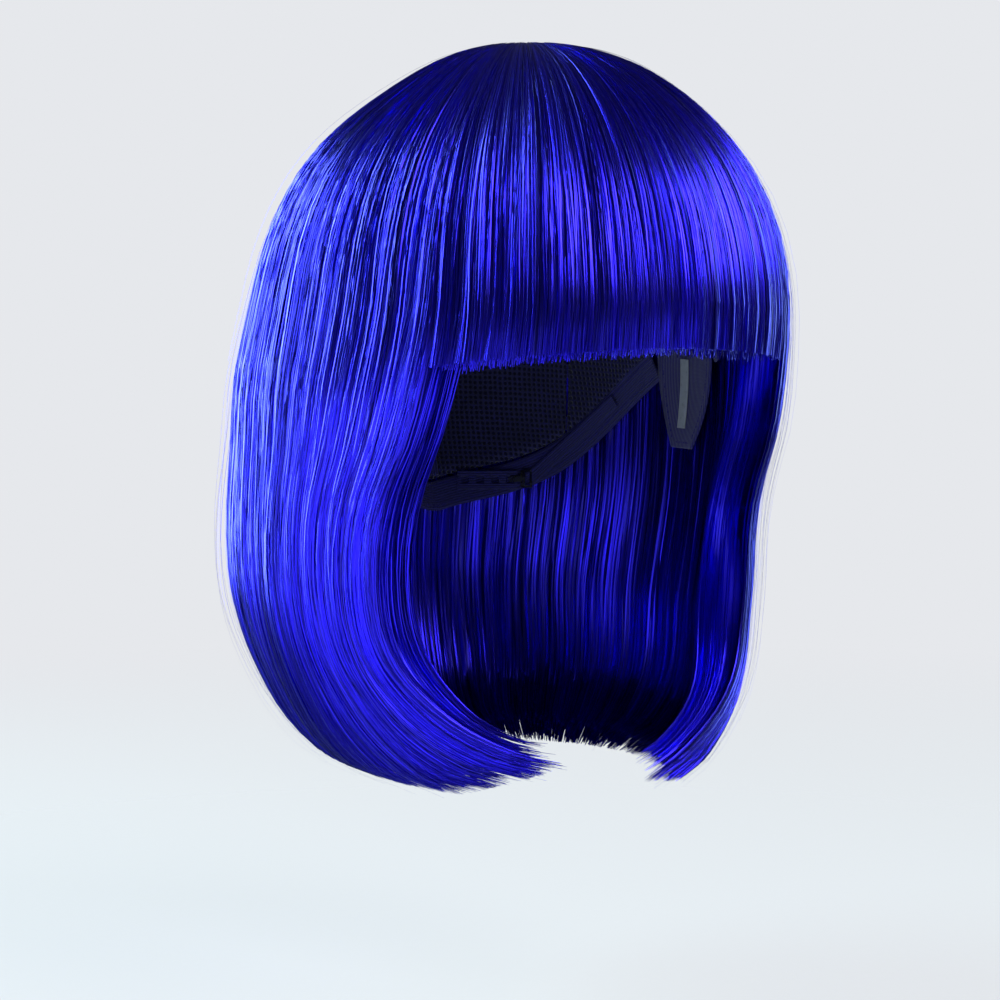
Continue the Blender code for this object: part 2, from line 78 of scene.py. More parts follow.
# The hair's outer and inner surfaces: how far down, height, and the reach to the wearer's right, to
# the left, to the front and to the back.
HAIR_TOP = 0.018
HAIR_CLEAR = 0.0046
OUTER_FULLNESS = (2.25, 2.0)
INNER_FULLNESS = (2.0, 2.0)
OUTER = (
    (1.00, -0.115, 0.110, 0.105, 0.118, 0.128),
    (1.30, -0.163, 0.116, 0.098, 0.086, 0.139),
    (1.55, -0.205, 0.114, 0.094, 0.086, 0.138),
    (1.78, -0.240, 0.101, 0.087, 0.089, 0.121),
    (1.92, -0.261, 0.083, 0.070, 0.091, 0.098),
    (2.00, -0.270, 0.064, 0.053, 0.090, 0.068),
)
INNER = (
    (1.00, -0.115, 0.0826, 0.0826, 0.1026, 0.1026),
    (1.30, -0.163, 0.0850, 0.0790, 0.0660, 0.0960),
    (1.55, -0.205, 0.0840, 0.0730, 0.0630, 0.0980),
    (1.78, -0.240, 0.0740, 0.0690, 0.0720, 0.0900),
    (1.92, -0.256, 0.0650, 0.0570, 0.0780, 0.0760),
    (2.00, -0.262, 0.0520, 0.0450, 0.0780, 0.0560),
)
SIDE_SEAM = 80.0
LOCK_EDGE = ((0.0, 45), (0.76, 45), (1.0, 46), (1.3, 50), (1.62, 50), (1.8, 41), (2.0, 20))
LEFT_TIP_RISE = 0.008
RIGHT_TIP_RISE = 0.022
LOCK_TIP_TURN = 55.0
LEFT_LOCK_EXTRA_SWEEP = 12.0
SIDES = (("left", 1), ("right", -1))

# The straps that take the cap in at the nape.
LADDER_OUTER_TURN = 150.0
LADDER_INNER_TURN = 171.0
LADDER_DEPTH = -0.0026
HOOK_LIFT = 0.0013
HOOK_REST = -0.0038
HOOK_HALF_LENGTH = 0.0025
STRAP_START_TURN = 119.0
STRAP_DEPTH = -0.0024
STRAP_WIDTH = 0.006


def linear(hex_colour):
    """An sRGB colour, written as six hex digits, as linear red, green and blue."""
    parts = [int(hex_colour[k : k + 2], 16) / 255 for k in (0, 2, 4)]
    return tuple(p / 12.92 if p <= 0.04045 else ((p + 0.055) / 1.055) ** 2.4 for p in parts)


def colour(name, hex_colour, description):
    value = linear(hex_colour)
    return FloatVectorProperty(
        name=name, description=description, subtype="COLOR", size=3, min=0, max=1, default=value
    )


def length(name, metres, description):
    return FloatProperty(
        name=name, description=description, default=metres, min=0, unit="LENGTH", precision=5
    )


def number(name, value, description, subtype="NONE"):
    return FloatProperty(name=name, description=description, default=value, subtype=subtype)


def amount(name, value, description):
    return IntProperty(name=name, description=description, default=value, min=1)


class WigHair(bpy.types.PropertyGroup):
    fibre_width: length("Fibre width", 0.00062, "Width of one drawn fibre, which stands for a few real ones")
    flyaway_width: length("Flyaway width", 0.00022, "Width of one stray fibre")
    fringe_fibres: amount("Fringe fibres", 1450, "Fibres in the fringe's outer layer")
    lock_fibres: amount("Lock fibres", 900, "Fibres in each front lock's outer layer")
    back_fibres: amount("Back fibres", 1050, "Fibres in each third of the back's outer layer")
    light: colour("Fibre", "2209FF", "Brightest fibre")
    # The deep colour is also what the hair masses under the loose fibres lean to, as painted shade.
    deep: colour("Deep fibre", "0D0284", "Darkest fibre, lying between the bright ones")
    root: colour("Root", "5A5684", "Fibre where it is knotted to the crown")


class WigCap(bpy.types.PropertyGroup):
    net_hole: length("Net hole", 0.0022, "Distance between the openings of the net")
    stitch_pitch: length("Stitch pitch", 0.0034, "Distance between stitches")
    net: colour("Net", "24225C", "Nylon net")
    tape: colour("Tape", "2B2878", "Elastic tapes and bands")
    thread: colour("Thread", "2A2496", "Sewing thread and weft headers")
    skin: colour("Crown base", "B9B2C8", "The skin-like base at the crown")
    stay: colour("Stay", "C9CED6", "The plastic stays in the ear tabs")
    steel: colour("Hook", "B9BBC0", "The strap hooks")


class WigStage(bpy.types.PropertyGroup):
    floor_drop: length("Floor drop", 0.36, "How far the floor lies below the cap's top")
    camera_distance: length("Camera distance", 1.3, "From the camera to the wig")
    camera_turn: number("Camera turn", radians(-26), "Camera's azimuth", "ANGLE")
    camera_rise: number("Camera rise", radians(5), "Camera's elevation", "ANGLE")
    lens: number("Lens", 116.4, "Focal length in millimetres")
    key_power: number("Key power", 20, "Front light, in watts")
    side_power: number("Side power", 48, "Light on the wearer's right, in watts")
    rim_power: number("Rim power", 8, "Light on the wearer's left, in watts")
    bounce_power: number("Bounce power", 1.2, "Low light in front, in watts")
    backdrop: colour("Backdrop", "E6E8EC", "Floor and background")


# ---- shapes shared by all the pieces ----


def smooth_between(points, at):
    """Reads a smooth line through rows of numbers, each led by its position, at one position."""
    last = len(points) - 1
    here = min(max(at, points[0][0]), points[last][0])
    low = max(i for i in range(last) if points[i][0] <= here)
    start, end = points[low], points[low + 1]
    before, after = points[max(low - 1, 0)], points[min(low + 2, last)]
    span = end[0] - start[0]
    share = (here - start[0]) / span
    out = []
    for k in range(1, len(start)):
        slope_in = (end[k] - before[k]) / (end[0] - before[0]) * span
        slope_out = (after[k] - start[k]) / (after[0] - start[0]) * span
        rise = end[k] - start[k]
        out.append(
            start[k]
            + slope_in * share
            + (3 * rise - 2 * slope_in - slope_out) * share**2
            + (slope_in + slope_out - 2 * rise) * share**3
        )
    return out


FINE = 241


def fine_table(points):
    """The same smooth line at many even positions: the positions, and one column for each number."""
    at = np.linspace(points[0][0], points[-1][0], FINE)
    return at, np.array([smooth_between(points, a) for a in at]).T


TABLES = {rows: fine_table(rows) for rows in (OUTER, INNER, CAP_EDGE, LOCK_EDGE)}


def read(rows, at, column=0):
    positions, columns = TABLES[rows]
    return np.interp(at, positions, columns[column])


def ease(start, end, at):
    share = np.clip((np.asarray(at, float) - start) / (end - start), 0, 1)
    return share * share * (3 - 2 * share)


def unit(vectors):
    return vectors / np.maximum(np.linalg.norm(vectors, axis=-1, keepdims=True), 1e-12)


def stack(x, y, z):
    return np.stack(np.broadcast_arrays(x, y, z), axis=-1)


def cap_edge(turn):
    """The fall of the cap's lower edge at a turn from the forehead, either way."""
    return read(CAP_EDGE, np.abs((np.asarray(turn, float) + 180) % 360 - 180))


def cap_point(turn, fall, depth):
    """A point on the cap, depth outside its inner face."""
    t, f = np.radians(turn), np.radians(fall)
    return stack(
        (CAP_HALF_WIDTH + depth) * np.sin(f) * np.sin(t),
        -(CAP_HALF_LENGTH + depth) * np.sin(f) * np.cos(t),
        -CAP_HEIGHT + (CAP_HEIGHT + depth) * np.cos(f),
    )


def cap_angle(size, radius=CAP_HALF_LENGTH):
    """The angle in degrees that a length takes on the cap."""
    return degrees(size / radius)


def envelope(rows, top, fullness, turn, down):
    """Points on one of the hair's two surfaces: a full dome over the head, and rows below it."""
    t = np.radians(turn)
    power = 2 / (fullness[0] + (fullness[1] - fullness[0]) * (1 - np.cos(t)) / 2)
    over = np.clip(down, 0, 1) * pi / 2
    out = np.sin(over) ** power
    up = np.clip(np.cos(over), 0, 1) ** power
    below = np.maximum(down, 1)
    widest = rows[0][1]
    height = np.where(down > 1, read(rows, below, 0), widest + (top - widest) * up)
    right, left, front, back = (read(rows, below, k) * out for k in (1, 2, 3, 4))
    across = np.where(np.sin(t) > 0, left, right)
    along = np.where(np.cos(t) > 0, front, back)
    return stack(across * np.sin(t), -along * np.cos(t), height)


def tip_rise(turn):
    """How much higher the cut ends are in front, where the locks curl round under the chin."""
    from_front = (turn + 180) % 360 - 180
    rise = np.where(from_front > 0, LEFT_TIP_RISE, RIGHT_TIP_RISE)
    return rise * np.maximum(1 - np.abs(from_front) / LOCK_TIP_TURN, 0)


def bell(at, middle, width):
    return np.exp(-(((at - middle) / width) ** 2))


def eased(rows, top, fullness, turn, down):
    """The envelope with its change of slope at the head's widest line eased over about 40 mm."""
    reach = 0.11 * bell(down, 1.0, 0.3)
    around = [envelope(rows, top, fullness, turn, down + step * reach) for step in (-1.5, -0.5, 0.5, 1.5)]
    return sum(around) / len(around)


def hair_points(turn, down, share):
    """Points in the hair, and the directions out of it there."""
    inner = eased(INNER, HAIR_CLEAR, INNER_FULLNESS, turn, down)
    outer = eased(OUTER, HAIR_TOP, OUTER_FULLNESS, turn, down)
    out = unit(outer - inner)
    left_front = (1 + np.cos(np.radians(turn - 50))) / 2
    right_back = (1 + np.cos(np.radians(turn + 120))) / 2
    fuller = (
        0.0024 * left_front * bell(down, 0.70, 0.22)
        - 0.0034 * right_back * bell(down, 0.34, 0.17)
        + 0.0026 * right_back * bell(down, 1.02, 0.16)
    )
    points = inner + (outer - inner) * np.asarray(share)[..., None] + out * (fuller * share)[..., None]
    points[..., 2] += tip_rise(turn) * ease(1.6, 2.0, down) - 0.003 * ease(1.7, 1.95, down)
    return points, out


# Where the hair's parts lie round the head, from a share across each part and the place down it.
def fringe_lane(across, down):
    return FRONT_SEAM * (2 * across - 1) + 0 * down


def lock_lane(side):
    def lane(across, down):
        edge = read(LOCK_EDGE, down) - (side > 0) * LEFT_LOCK_EXTRA_SWEEP * ease(1.7, 2.0, down)
        return side * (edge + (SIDE_SEAM - edge) * across)

    return lane


def back_lane(first, last):
    def lane(across, down):
        return first + (last - first) * across + 0 * down

    return lane


# ---- meshes ----


def piece(name, points, corners, sides, material, marks, uvs=None):
    """A mesh object. sides holds each face's number of corners, and marks are numbers kept on points."""
    mesh = bpy.data.meshes.new(name)
    mesh.vertices.add(len(points))
    mesh.vertices.foreach_set("co", np.asarray(points, np.float32).ravel())
    mesh.loops.add(len(corners))
    mesh.loops.foreach_set("vertex_index", np.asarray(corners, np.int32))
    mesh.polygons.add(len(sides))
    starts = np.concatenate([[0], np.cumsum(sides)[:-1]]).astype(np.int32)
    mesh.polygons.foreach_set("loop_start", starts)
    mesh.polygons.foreach_set("loop_total", np.asarray(sides, np.int32))
    mesh.update(calc_edges=True)
    for mark, values in marks.items():
        kept = mesh.attributes.new(mark, "FLOAT", "POINT")
        kept.data.foreach_set("value", np.asarray(values, np.float32).ravel())
    if uvs is not None:
        mesh.uv_layers.new(name="OFBake").data.foreach_set("uv", np.asarray(uvs, np.float32).ravel())
    mesh.materials.append(material)
    obj = bpy.data.objects.new(name, mesh)
    bpy.context.scene.collection.objects.link(obj)
    return obj


def tubes(name, rings, material, marks, packed=False):
    """Closed tubes from rings of shape (tubes, stations, corners, 3). marks have the shape of the rings.

    packed lays each tube's bake map in a narrow lane of its own.
    """
    count, stations, corners, _ = rings.shape
    index = np.arange(count * stations * corners).reshape(count, stations, corners)
    ahead = np.roll(index, -1, axis=2)
    walls = np.stack([index[:, :-1], ahead[:, :-1], ahead[:, 1:], index[:, 1:]], axis=-1).reshape(-1, 4)
    caps = np.concatenate([index[:, 0, ::-1], index[:, -1]])
    loops = np.concatenate([walls.ravel(), caps.ravel()])
    sides = np.concatenate([np.full(len(walls), 4), np.full(len(caps), corners)])
    uvs = None
    if packed:
        shelves = 4
        lanes = -(-count // shelves)
        lane = np.arange(count) % lanes
        shelf = np.arange(count) // lanes
        k = np.arange(corners)
        left = (lane[:, None, None] + 0.04 + 0.92 * k / corners) / lanes + np.zeros((1, stations - 1, 1))
        right = left + 0.92 / corners / lanes
        low = np.arange(stations - 1) / (stations - 1)
        bottom = (shelf[:, None, None] + 0.01 + 0.98 * low[None, :, None]) / shelves + 0 * left
        top = bottom + 0.98 / (stations - 1) / shelves
        round_wall = ((left, bottom), (right, bottom), (right, top), (left, top))
        wall_uv = np.stack([np.stack(spot, -1) for spot in round_wall], axis=-2).reshape(-1, 2)
        ends = np.concatenate([left[:, 0], left[:, -1]])
        heights = np.concatenate([bottom[:, 0], top[:, -1]])
        cap_uv = np.stack([ends, heights], -1).reshape(-1, 2)
        uvs = np.concatenate([wall_uv, cap_uv])
    flat = {mark: np.broadcast_to(values, (count, stations, corners)) for mark, values in marks.items()}
    obj = piece(name, rings.reshape(-1, 3), loops, sides, material, flat, uvs)
    ends = np.empty(len(obj.data.edges) * 2, np.int32)
    obj.data.edges.foreach_get("vertices", ends)
    ring = ends.reshape(-1, 2) // corners
    level = ring[:, 0] == ring[:, 1]
    last = np.isin(ring[:, 0] % stations, (0, stations - 1))
    # The rim of each end is crisp, and so are the long edges of a fibre, but not those of a tape.
    sharp = (level & last) | (~level & (corners < 5))
    obj.data.attributes.new("sharp_edge", "BOOLEAN", "EDGE").data.foreach_set("value", sharp)
    return obj


def spans(grid):
    """Distances over a grid of points: across its columns, and down its rows."""
    wide = np.cumsum(np.linalg.norm(np.diff(grid, axis=1, prepend=grid[:, :1]), axis=-1), axis=1)
    tall = np.cumsum(np.linalg.norm(np.diff(grid, axis=0, prepend=grid[:1]), axis=-1), axis=0)
    return wide, tall


def slab(name, over, under, material, marks):
    """A closed body between two grids of points, one over the other. marks have the grids' shape."""
    rows, columns, _ = over.shape
    top = np.arange(rows * columns).reshape(rows, columns)
    bottom = top + rows * columns

    def quads(grid):
        return np.stack([grid[:-1, :-1], grid[:-1, 1:], grid[1:, 1:], grid[1:, :-1]], -1).reshape(-1, 4)

    def wall(upper, lower):
        return np.stack([upper[1:], upper[:-1], lower[:-1], lower[1:]], -1)

    faces = np.concatenate([
        quads(top),
        quads(bottom)[:, ::-1],
        wall(top[0], bottom[0]),
        wall(top[-1], bottom[-1])[:, ::-1],
        wall(top[:, 0], bottom[:, 0])[:, ::-1],
        wall(top[:, -1], bottom[:, -1]),
    ])
    points = np.concatenate([over.reshape(-1, 3), under.reshape(-1, 3)])
    middle = over.reshape(-1, 3).mean(0) * 0.2
    first = points[faces[: (rows - 1) * (columns - 1)]]
    facing = np.cross(first[:, 1] - first[:, 0], first[:, 2] - first[:, 0])
    if (facing * (first.mean(1) - middle)).sum() < 0:
        faces = faces[:, ::-1]
    doubled = {mark: np.concatenate([values.ravel(), values.ravel()]) for mark, values in marks.items()}
    return piece(name, points, faces.ravel(), np.full(len(faces), 4), material, doubled)


def sections(spine, outs, outline):
    """Rings along spines of shape (tubes, stations, 3). outline has pairs of across and outward sizes."""
    along = unit(np.gradient(spine, axis=1))
    across = unit(np.cross(along, outs))
    outward = np.cross(across, along)
    return (
        spine[:, :, None]
        + across[:, :, None] * outline[..., 0:1]
        + outward[:, :, None] * outline[..., 1:2]
    )


# A fibre's section: a low ridge facing outwards. The corners lie at these shares of its width.
FIBRE_SECTION = np.array(((0.0, 0.17), (0.5, -0.09), (-0.5, -0.09)))
# How far fibres are turned about their own length, in radians, which spreads their highlights.
FIBRE_ROLL = 0.26


def fibres(name, spine, outs, widths, tones, material):
    """Closed three-sided fibres. tones is one number for each fibre, 0 deep to 1 bright."""
    roll = np.random.default_rng(len(spine)).normal(0, FIBRE_ROLL, len(spine))
    aside, ahead = np.cos(roll), np.sin(roll)
    turned = np.einsum("kc,cdn->nkd", FIBRE_SECTION, np.array(((aside, ahead), (-ahead, aside))))
    outline = turned[:, None] * widths[:, :, None, None]
    rings = sections(spine, outs, outline)
    steps = np.linalg.norm(np.diff(spine, axis=1), axis=-1)
    run = np.concatenate([np.zeros((len(spine), 1)), np.cumsum(steps, axis=1)], axis=1)
    marks = {"tone": tones[:, None, None], "along": run[:, :, None], "across": np.array([0.5, 1.0, 0.0])}
    return tubes(name, rings, material, marks, packed=True)


# ---- materials ----


def node(tree, kind, inputs, output=0, **settings):
    """Adds a node and returns one of its outputs. inputs are listed by socket, or all in order."""
    made = tree.nodes.new("ShaderNode" + kind)
    for key, value in settings.items():
        setattr(made, key, value)
    wire(tree, made, dict(enumerate(inputs)) if isinstance(inputs, tuple) else inputs)
    return made.outputs[output]


def wire(tree, made, inputs):
    """Sets a node's inputs. Each is a number, a colour or another node's output."""
    for key, value in inputs.items():
        socket = made.inputs[key]
        if isinstance(value, bpy.types.NodeSocket):
            tree.links.new(value, socket)
        elif socket.type == "RGBA":
            socket.default_value = (*value, 1.0)
        else:
            socket.default_value = value


def new_material(name):
    material = bpy.data.materials.new(name)
    material.use_nodes = True
    return material, material.node_tree


def finish(material, inputs):
    wire(material.node_tree, material.node_tree.nodes["Principled BSDF"], inputs)
    return material


def shades(ground, low, high):
    """A darker and a lighter shade of a colour."""
    return [c * low for c in ground], [min(c * high, 1) for c in ground]


def fibre_material(name, hair, root_length, sheen):
    """Modacrylic fibre, spun from a coloured solution and drawn.

    Drawing leaves it smooth and glassy. Light that enters it comes back from its far side in its own
    colour, as it does in hair, and a nearly metallic value gives that: bands of pure blue across the
    fibres, and near black between them.
    """
    material, tree = new_material(name)
    tone = node(tree, "Attribute", {}, "Fac", attribute_name="tone")
    along = node(tree, "Attribute", {}, "Fac", attribute_name="along")
    across = node(tree, "Attribute", {}, "Fac", attribute_name="across")
    # Slow changes along a fibre, 15 to 30 mm long, each fibre's its own.
    own = node(tree, "Math", (tone, 731.0), operation="MULTIPLY")
    spot = node(tree, "CombineXYZ", (own, along))
    drawn = node(tree, "TexNoise", {"Vector": spot, "Scale": 55.0, "Detail": 2.0}, "Fac")
    change = node(tree, "MapRange", (drawn, 0.3, 0.7, -0.22, 0.22))
    shade = node(tree, "Math", (tone, change), operation="ADD")
    body = node(tree, "Mix", {0: shade, 6: hair.deep, 7: hair.light}, 2, data_type="RGBA")
    # Only some roots keep the pale finish that the rest lose when they are knotted.
    near_root = node(tree, "MapRange", (along, 0.0, root_length, 0.85, 0.0))
    pale = node(tree, "MapRange", (tone, 0.62, 0.74, 0.12, 1.0))
    knot = node(tree, "Math", (near_root, pale), operation="MULTIPLY")
    # Faint marks of the die, which are microns wide, drawn 0.2 mm wide across the fibre.
    apart = node(tree, "Math", (tone, 50.0), operation="MULTIPLY")
    face = node(tree, "Math", (across, apart), operation="ADD")
    spot = node(tree, "CombineXYZ", (face, along))
    marks = node(tree, "TexNoise", {"Vector": spot, "Scale": 5.0, "Detail": 3.0}, "Fac")
    inputs = {
        "Base Color": node(tree, "Mix", {0: knot, 6: body, 7: hair.root}, 2, data_type="RGBA"),
        "Roughness": node(tree, "MapRange", (marks, 0.3, 0.7, sheen - 0.05, sheen + 0.07)),
        "Metallic": 0.95,
        "IOR": 1.52,
        "Coat Weight": 0.35,
        "Coat Roughness": 0.3,
        "Normal": node(tree, "Bump", {"Strength": 0.4, "Distance": 0.00004, "Height": marks}),
    }
    return finish(material, inputs)


def on_cloth(tree):
    """Where a point lies on a cloth or tape, in metres across it and along it."""
    across = node(tree, "Attribute", {}, "Fac", attribute_name="across")
    along = node(tree, "Attribute", {}, "Fac", attribute_name="along")
    return across, along, node(tree, "CombineXYZ", (across, along))


def cloth_material(name, ground, hole, pitch, rough):
    """Raschel-knitted nylon: matt looped threads round small openings, which are painted dark as painted
    shade.
    """
    material, tree = new_material(name)
    _, _, spot = on_cloth(tree)
    cells = node(tree, "TexVoronoi", {"Vector": spot, "Scale": 1 / pitch, "Randomness": 0.12}, "Distance")
    opening = node(tree, "MapRange", (cells, 0.30, 0.42, 1.0, 0.0))
    worn = node(tree, "TexNoise", {"Vector": spot, "Scale": 60.0, "Detail": 2.0}, "Fac")
    paler = node(tree, "MapRange", (worn, 0.3, 0.7, 0.0, 0.35))
    dark, light = shades(ground, 1.0, 2.4)
    thread = node(tree, "Mix", {0: paler, 6: dark, 7: light}, 2, data_type="RGBA")
    inputs = {
        # The openings take the hole colour, which is painted shade seen through the net, not the nylon's own
        # colour.
        "Base Color": node(tree, "Mix", {0: opening, 6: thread, 7: hole}, 2, data_type="RGBA"),
        "Roughness": node(tree, "MapRange", (opening, 0.0, 1.0, rough, 0.95)),
        "Sheen Weight": 0.25,
        "Normal": node(tree, "Bump", {"Strength": 1.0, "Distance": -0.0004, "Height": opening}),
    }
    return finish(material, inputs)


def tape_material(name, ground, cord_pitch, rough):
    """Woven elastic: polyester over rubber threads, so that ribs run along it and picks cross it, with
    painted highlight on the ribs and painted shade between them.

    The real weave is about half as coarse as the ribs and picks drawn here, a cord_pitch and half of
    one apart, which would otherwise be too fine to see.
    """
    material, tree = new_material(name)
    across, along, spot = on_cloth(tree)
    rib_turn = node(tree, "Math", (across, 2 * pi / cord_pitch), operation="MULTIPLY")
    pick_turn = node(tree, "Math", (along, 4 * pi / cord_pitch), operation="MULTIPLY")
    rib = node(tree, "Math", (rib_turn,), operation="SINE")
    pick = node(tree, "Math", (pick_turn,), operation="SINE")
    low_pick = node(tree, "Math", (pick, 0.45), operation="MULTIPLY")
    relief = node(tree, "Math", (rib, low_pick), operation="ADD")
    fuzz = node(tree, "TexNoise", {"Vector": spot, "Scale": 900.0, "Detail": 2.0}, "Fac")
    # The relief also colours the tape: painted highlight on the ribs and picks, painted shade in the hollows
    # between them, with random fuzz added.
    rib_highlight_and_shade = node(tree, "MapRange", (relief, -1.4, 1.4, 0.0, 0.8))
    fuzzy = node(tree, "MapRange", (fuzz, 0.3, 0.7, 0.0, 0.3))
    tint = node(tree, "Math", (rib_highlight_and_shade, fuzzy), operation="ADD")
    dark, light = shades(ground, 0.45, 1.9)
    inputs = {
        "Base Color": node(tree, "Mix", {0: tint, 6: dark, 7: light}, 2, data_type="RGBA"),
        "Roughness": node(tree, "MapRange", (relief, -1.4, 1.4, min(rough + 0.1, 1.0), rough)),
        "Sheen Weight": 0.3,
        "Normal": node(tree, "Bump", {"Strength": 1.0, "Distance": 0.00012, "Height": relief}),
    }
    return finish(material, inputs)


def smooth_material(name, ground, rough, metallic, ior, grain):
    """A smooth moulded, spun or plated surface: fine handling marks vary its gloss."""
    material, tree = new_material(name)
    spot = node(tree, "TexCoord", {}, "Object")
    marks = node(tree, "TexNoise", {"Vector": spot, "Scale": 1 / grain, "Detail": 4.0}, "Fac")
    dark, light = shades(ground, 0.82, 1.12)
    inputs = {
        "Base Color": node(tree, "Mix", {0: marks, 6: dark, 7: light}, 2, data_type="RGBA"),
        "Roughness": node(tree, "MapRange", (marks, 0.3, 0.7, rough - 0.06, rough + 0.1)),
        "Metallic": metallic,
        "Normal": node(tree, "Bump", {"Strength": 0.5, "Distance": 0.00003, "Height": marks}),
    }
    if not metallic:
        inputs["IOR"] = ior
    return finish(material, inputs)


# ---- how a piece joins the frame ----


def place(obj, body, replaced=None, bend=None):
    """Puts a piece on its body, or, where bend gives two points, leaves it unparented with its transform
    baked in and uses the points no further.
    """
    if bend:
        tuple(bend[0])
        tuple(bend[1])
        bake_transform(obj)
    else:
        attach(obj, body)
    if replaced:
        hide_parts(replaced)


# ---- hair ----

# Height of the fibres' roots at the crown.
CROWN_FOOT = 0.0025
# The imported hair's start down the hair, and its outer face as a share of the hair's thickness.
MASS_START = 0.14
MASS_CEILING = 0.885
SHINY_SHEEN = 0.26
PACKED_SHEEN = 0.36


def crowd(down):
    """Sets a fibre's points closer together where it curls."""
    return down + np.maximum(down - 1.5, 0)


def uncrowd(value):
    return np.where(value < 1.5, value, 1.5 + (value - 1.5) / 2)


def groom(
    rng, lane, count, width, stations, start, end, share,
    ragged=0.010, clumps=40, pull=0.45, drift=0.5, emerge=0.0, spread=0.0, blunt=0.2,
):
    """Spines, outward directions, widths and tones of fibres that lie side by side in one lane.

    start and end are places down the hair, and share is a pair of depths. ragged is how much the ends
    vary, pull how far fibres draw together in their clumps, drift how far they lean in degrees, emerge
    how much deeper a fibre starts than it ends, spread how far further down its start may be, and
    blunt the width left at its cut end.
    """
    across = (np.arange(count) + rng.random(count)) / count
    group = np.minimum((across * clumps).astype(int), clumps - 1)
    centre = (group + 0.5 + rng.normal(0, 0.15, clumps)[group]) / clumps
    starts = (start(across) if callable(start) else start) + spread * rng.random(count)
    lowest = end(across) if callable(end) else np.full(count, end)
    ends = lowest + rng.normal(0, ragged, count) + rng.normal(0, ragged * 0.8, clumps)[group]
    ends = np.clip(ends, starts + 0.05, lowest + 2.2 * ragged)
    run = np.linspace(0, 1, stations)
    down = uncrowd(crowd(starts)[:, None] + (crowd(ends) - crowd(starts))[:, None] * run)
    gathered = pull * ease(0.25, 1.0, run)
    lie = across[:, None] + (centre - across)[:, None] * gathered
    waves = rng.random((3, count, 1))
    sway = 0.35 * np.sin(2 * pi * (down * (0.8 + waves[0]) + waves[1])) * ease(0.1, 0.8, down)
    lean = rng.normal(0, drift, count)[:, None] * (down - starts[:, None])
    turn = lane(lie, down) + sway + lean
    depth = share[0] + (share[1] - share[0]) * rng.random(count)
    mound = 0.011 * np.sin(2 * pi * (rng.random(clumps)[group][:, None] + 0.9 * down))
    rise = emerge * (1 - ease(0, 0.4, run))
    deep = depth[:, None] + mound + rng.normal(0, 0.007, (count, 1)) - rise
    points, outs = hair_points(turn, down, np.clip(deep, 0.0, 1.0))
    # At the crown the fibres rise out of the base like a fountain.
    lift = np.where(down < 0.2, ease(-0.02, 0.055, down), 1.0)
    points[..., 2] = CROWN_FOOT + (points[..., 2] - CROWN_FOOT) * lift
    sizes = width * rng.uniform(0.75, 1.25, count)[:, None]
    tapered = (0.4 + 0.6 * ease(0.05, 0.6, down)) * (1 - (1 - blunt) * ease(0.9, 1.0, run))
    tones = 0.6 + 0.14 * rng.normal(0, 1, clumps)[group] + 0.14 * rng.normal(0, 1, count)
    return points, outs, sizes * tapered, np.clip(tones, 0, 1)


def hair_mass(name, lane, end, floor, shape, material, rng, thinner=0.0):
    """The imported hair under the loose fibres: a closed body whose faces are ridged like them.

    floor is the share its inner face lies at, thinner how much further out that comes low down, and
    shape its columns and rows.
    """
    columns, rows = shape
    across = np.linspace(0, 1, columns)[None, :]
    down = uncrowd(np.linspace(crowd(MASS_START), crowd(end), rows))[:, None]
    turn = lane(across, down) + 0 * down
    down = down + 0 * across
    uneven = rng.normal(0, 0.022, columns)[None, :]
    ridge = uneven + 0.02 * np.sin(2 * pi * (rng.random(columns)[None, :] + 1.5 * down))
    full = 0.25 + 0.75 * (1 - ease(end - 0.12, end, down))
    low = floor + thinner * ease(0.7, 0.9, down)
    middle = (low + MASS_CEILING) / 2
    top = middle + (MASS_CEILING - middle + ridge) * full
    under = middle + (low - middle + ridge) * full
    over, _ = hair_points(turn, down, np.clip(top, 0.06, 0.97))
    below, _ = hair_points(turn, down, np.clip(under, 0.0, 0.9))
    # The tone sits lower than the loose fibres' 0.6: painted shade for hair that lies under them. The spread
    # about it differs at random from column to column.
    tone = np.clip(0.35 + rng.normal(0, 0.2, columns)[None, :] + 0 * down, 0, 1)
    wide, tall = spans(over)
    return slab(name, over, below, material, {"tone": tone, "across": wide * 1000, "along": tall})


def fringe_end(across):
    """The blunt cut: level over the brows, a little longer towards the temples, with one small nick."""
    off = np.abs(2 * across - 1)
    nick = 0.010 * np.exp(-(((across - 0.60) / 0.006) ** 2))
    return 0.946 + 0.034 * off**2 - nick


def nape_start(first, last):
    """The inside layer starts just above the cap's edge, where the cap hides its knots."""

    def start(across):
        height = cap_point(0, cap_edge(first + (last - first) * across), 0)[..., 2]
        return np.maximum(1 + (-CAP_HEIGHT - height) / 0.16 - 0.06, 0.9)

    return start


def hair_materials(hair, part):
    """Drawn fibres with a root 12 mm long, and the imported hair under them."""
    shiny = fibre_material(f"drawn_modacrylic_fibre_{part}", hair, 0.012, SHINY_SHEEN)
    packed = fibre_material(f"packed_modacrylic_fibre_{part}", hair, 0.0001, PACKED_SHEEN)
    return shiny, packed


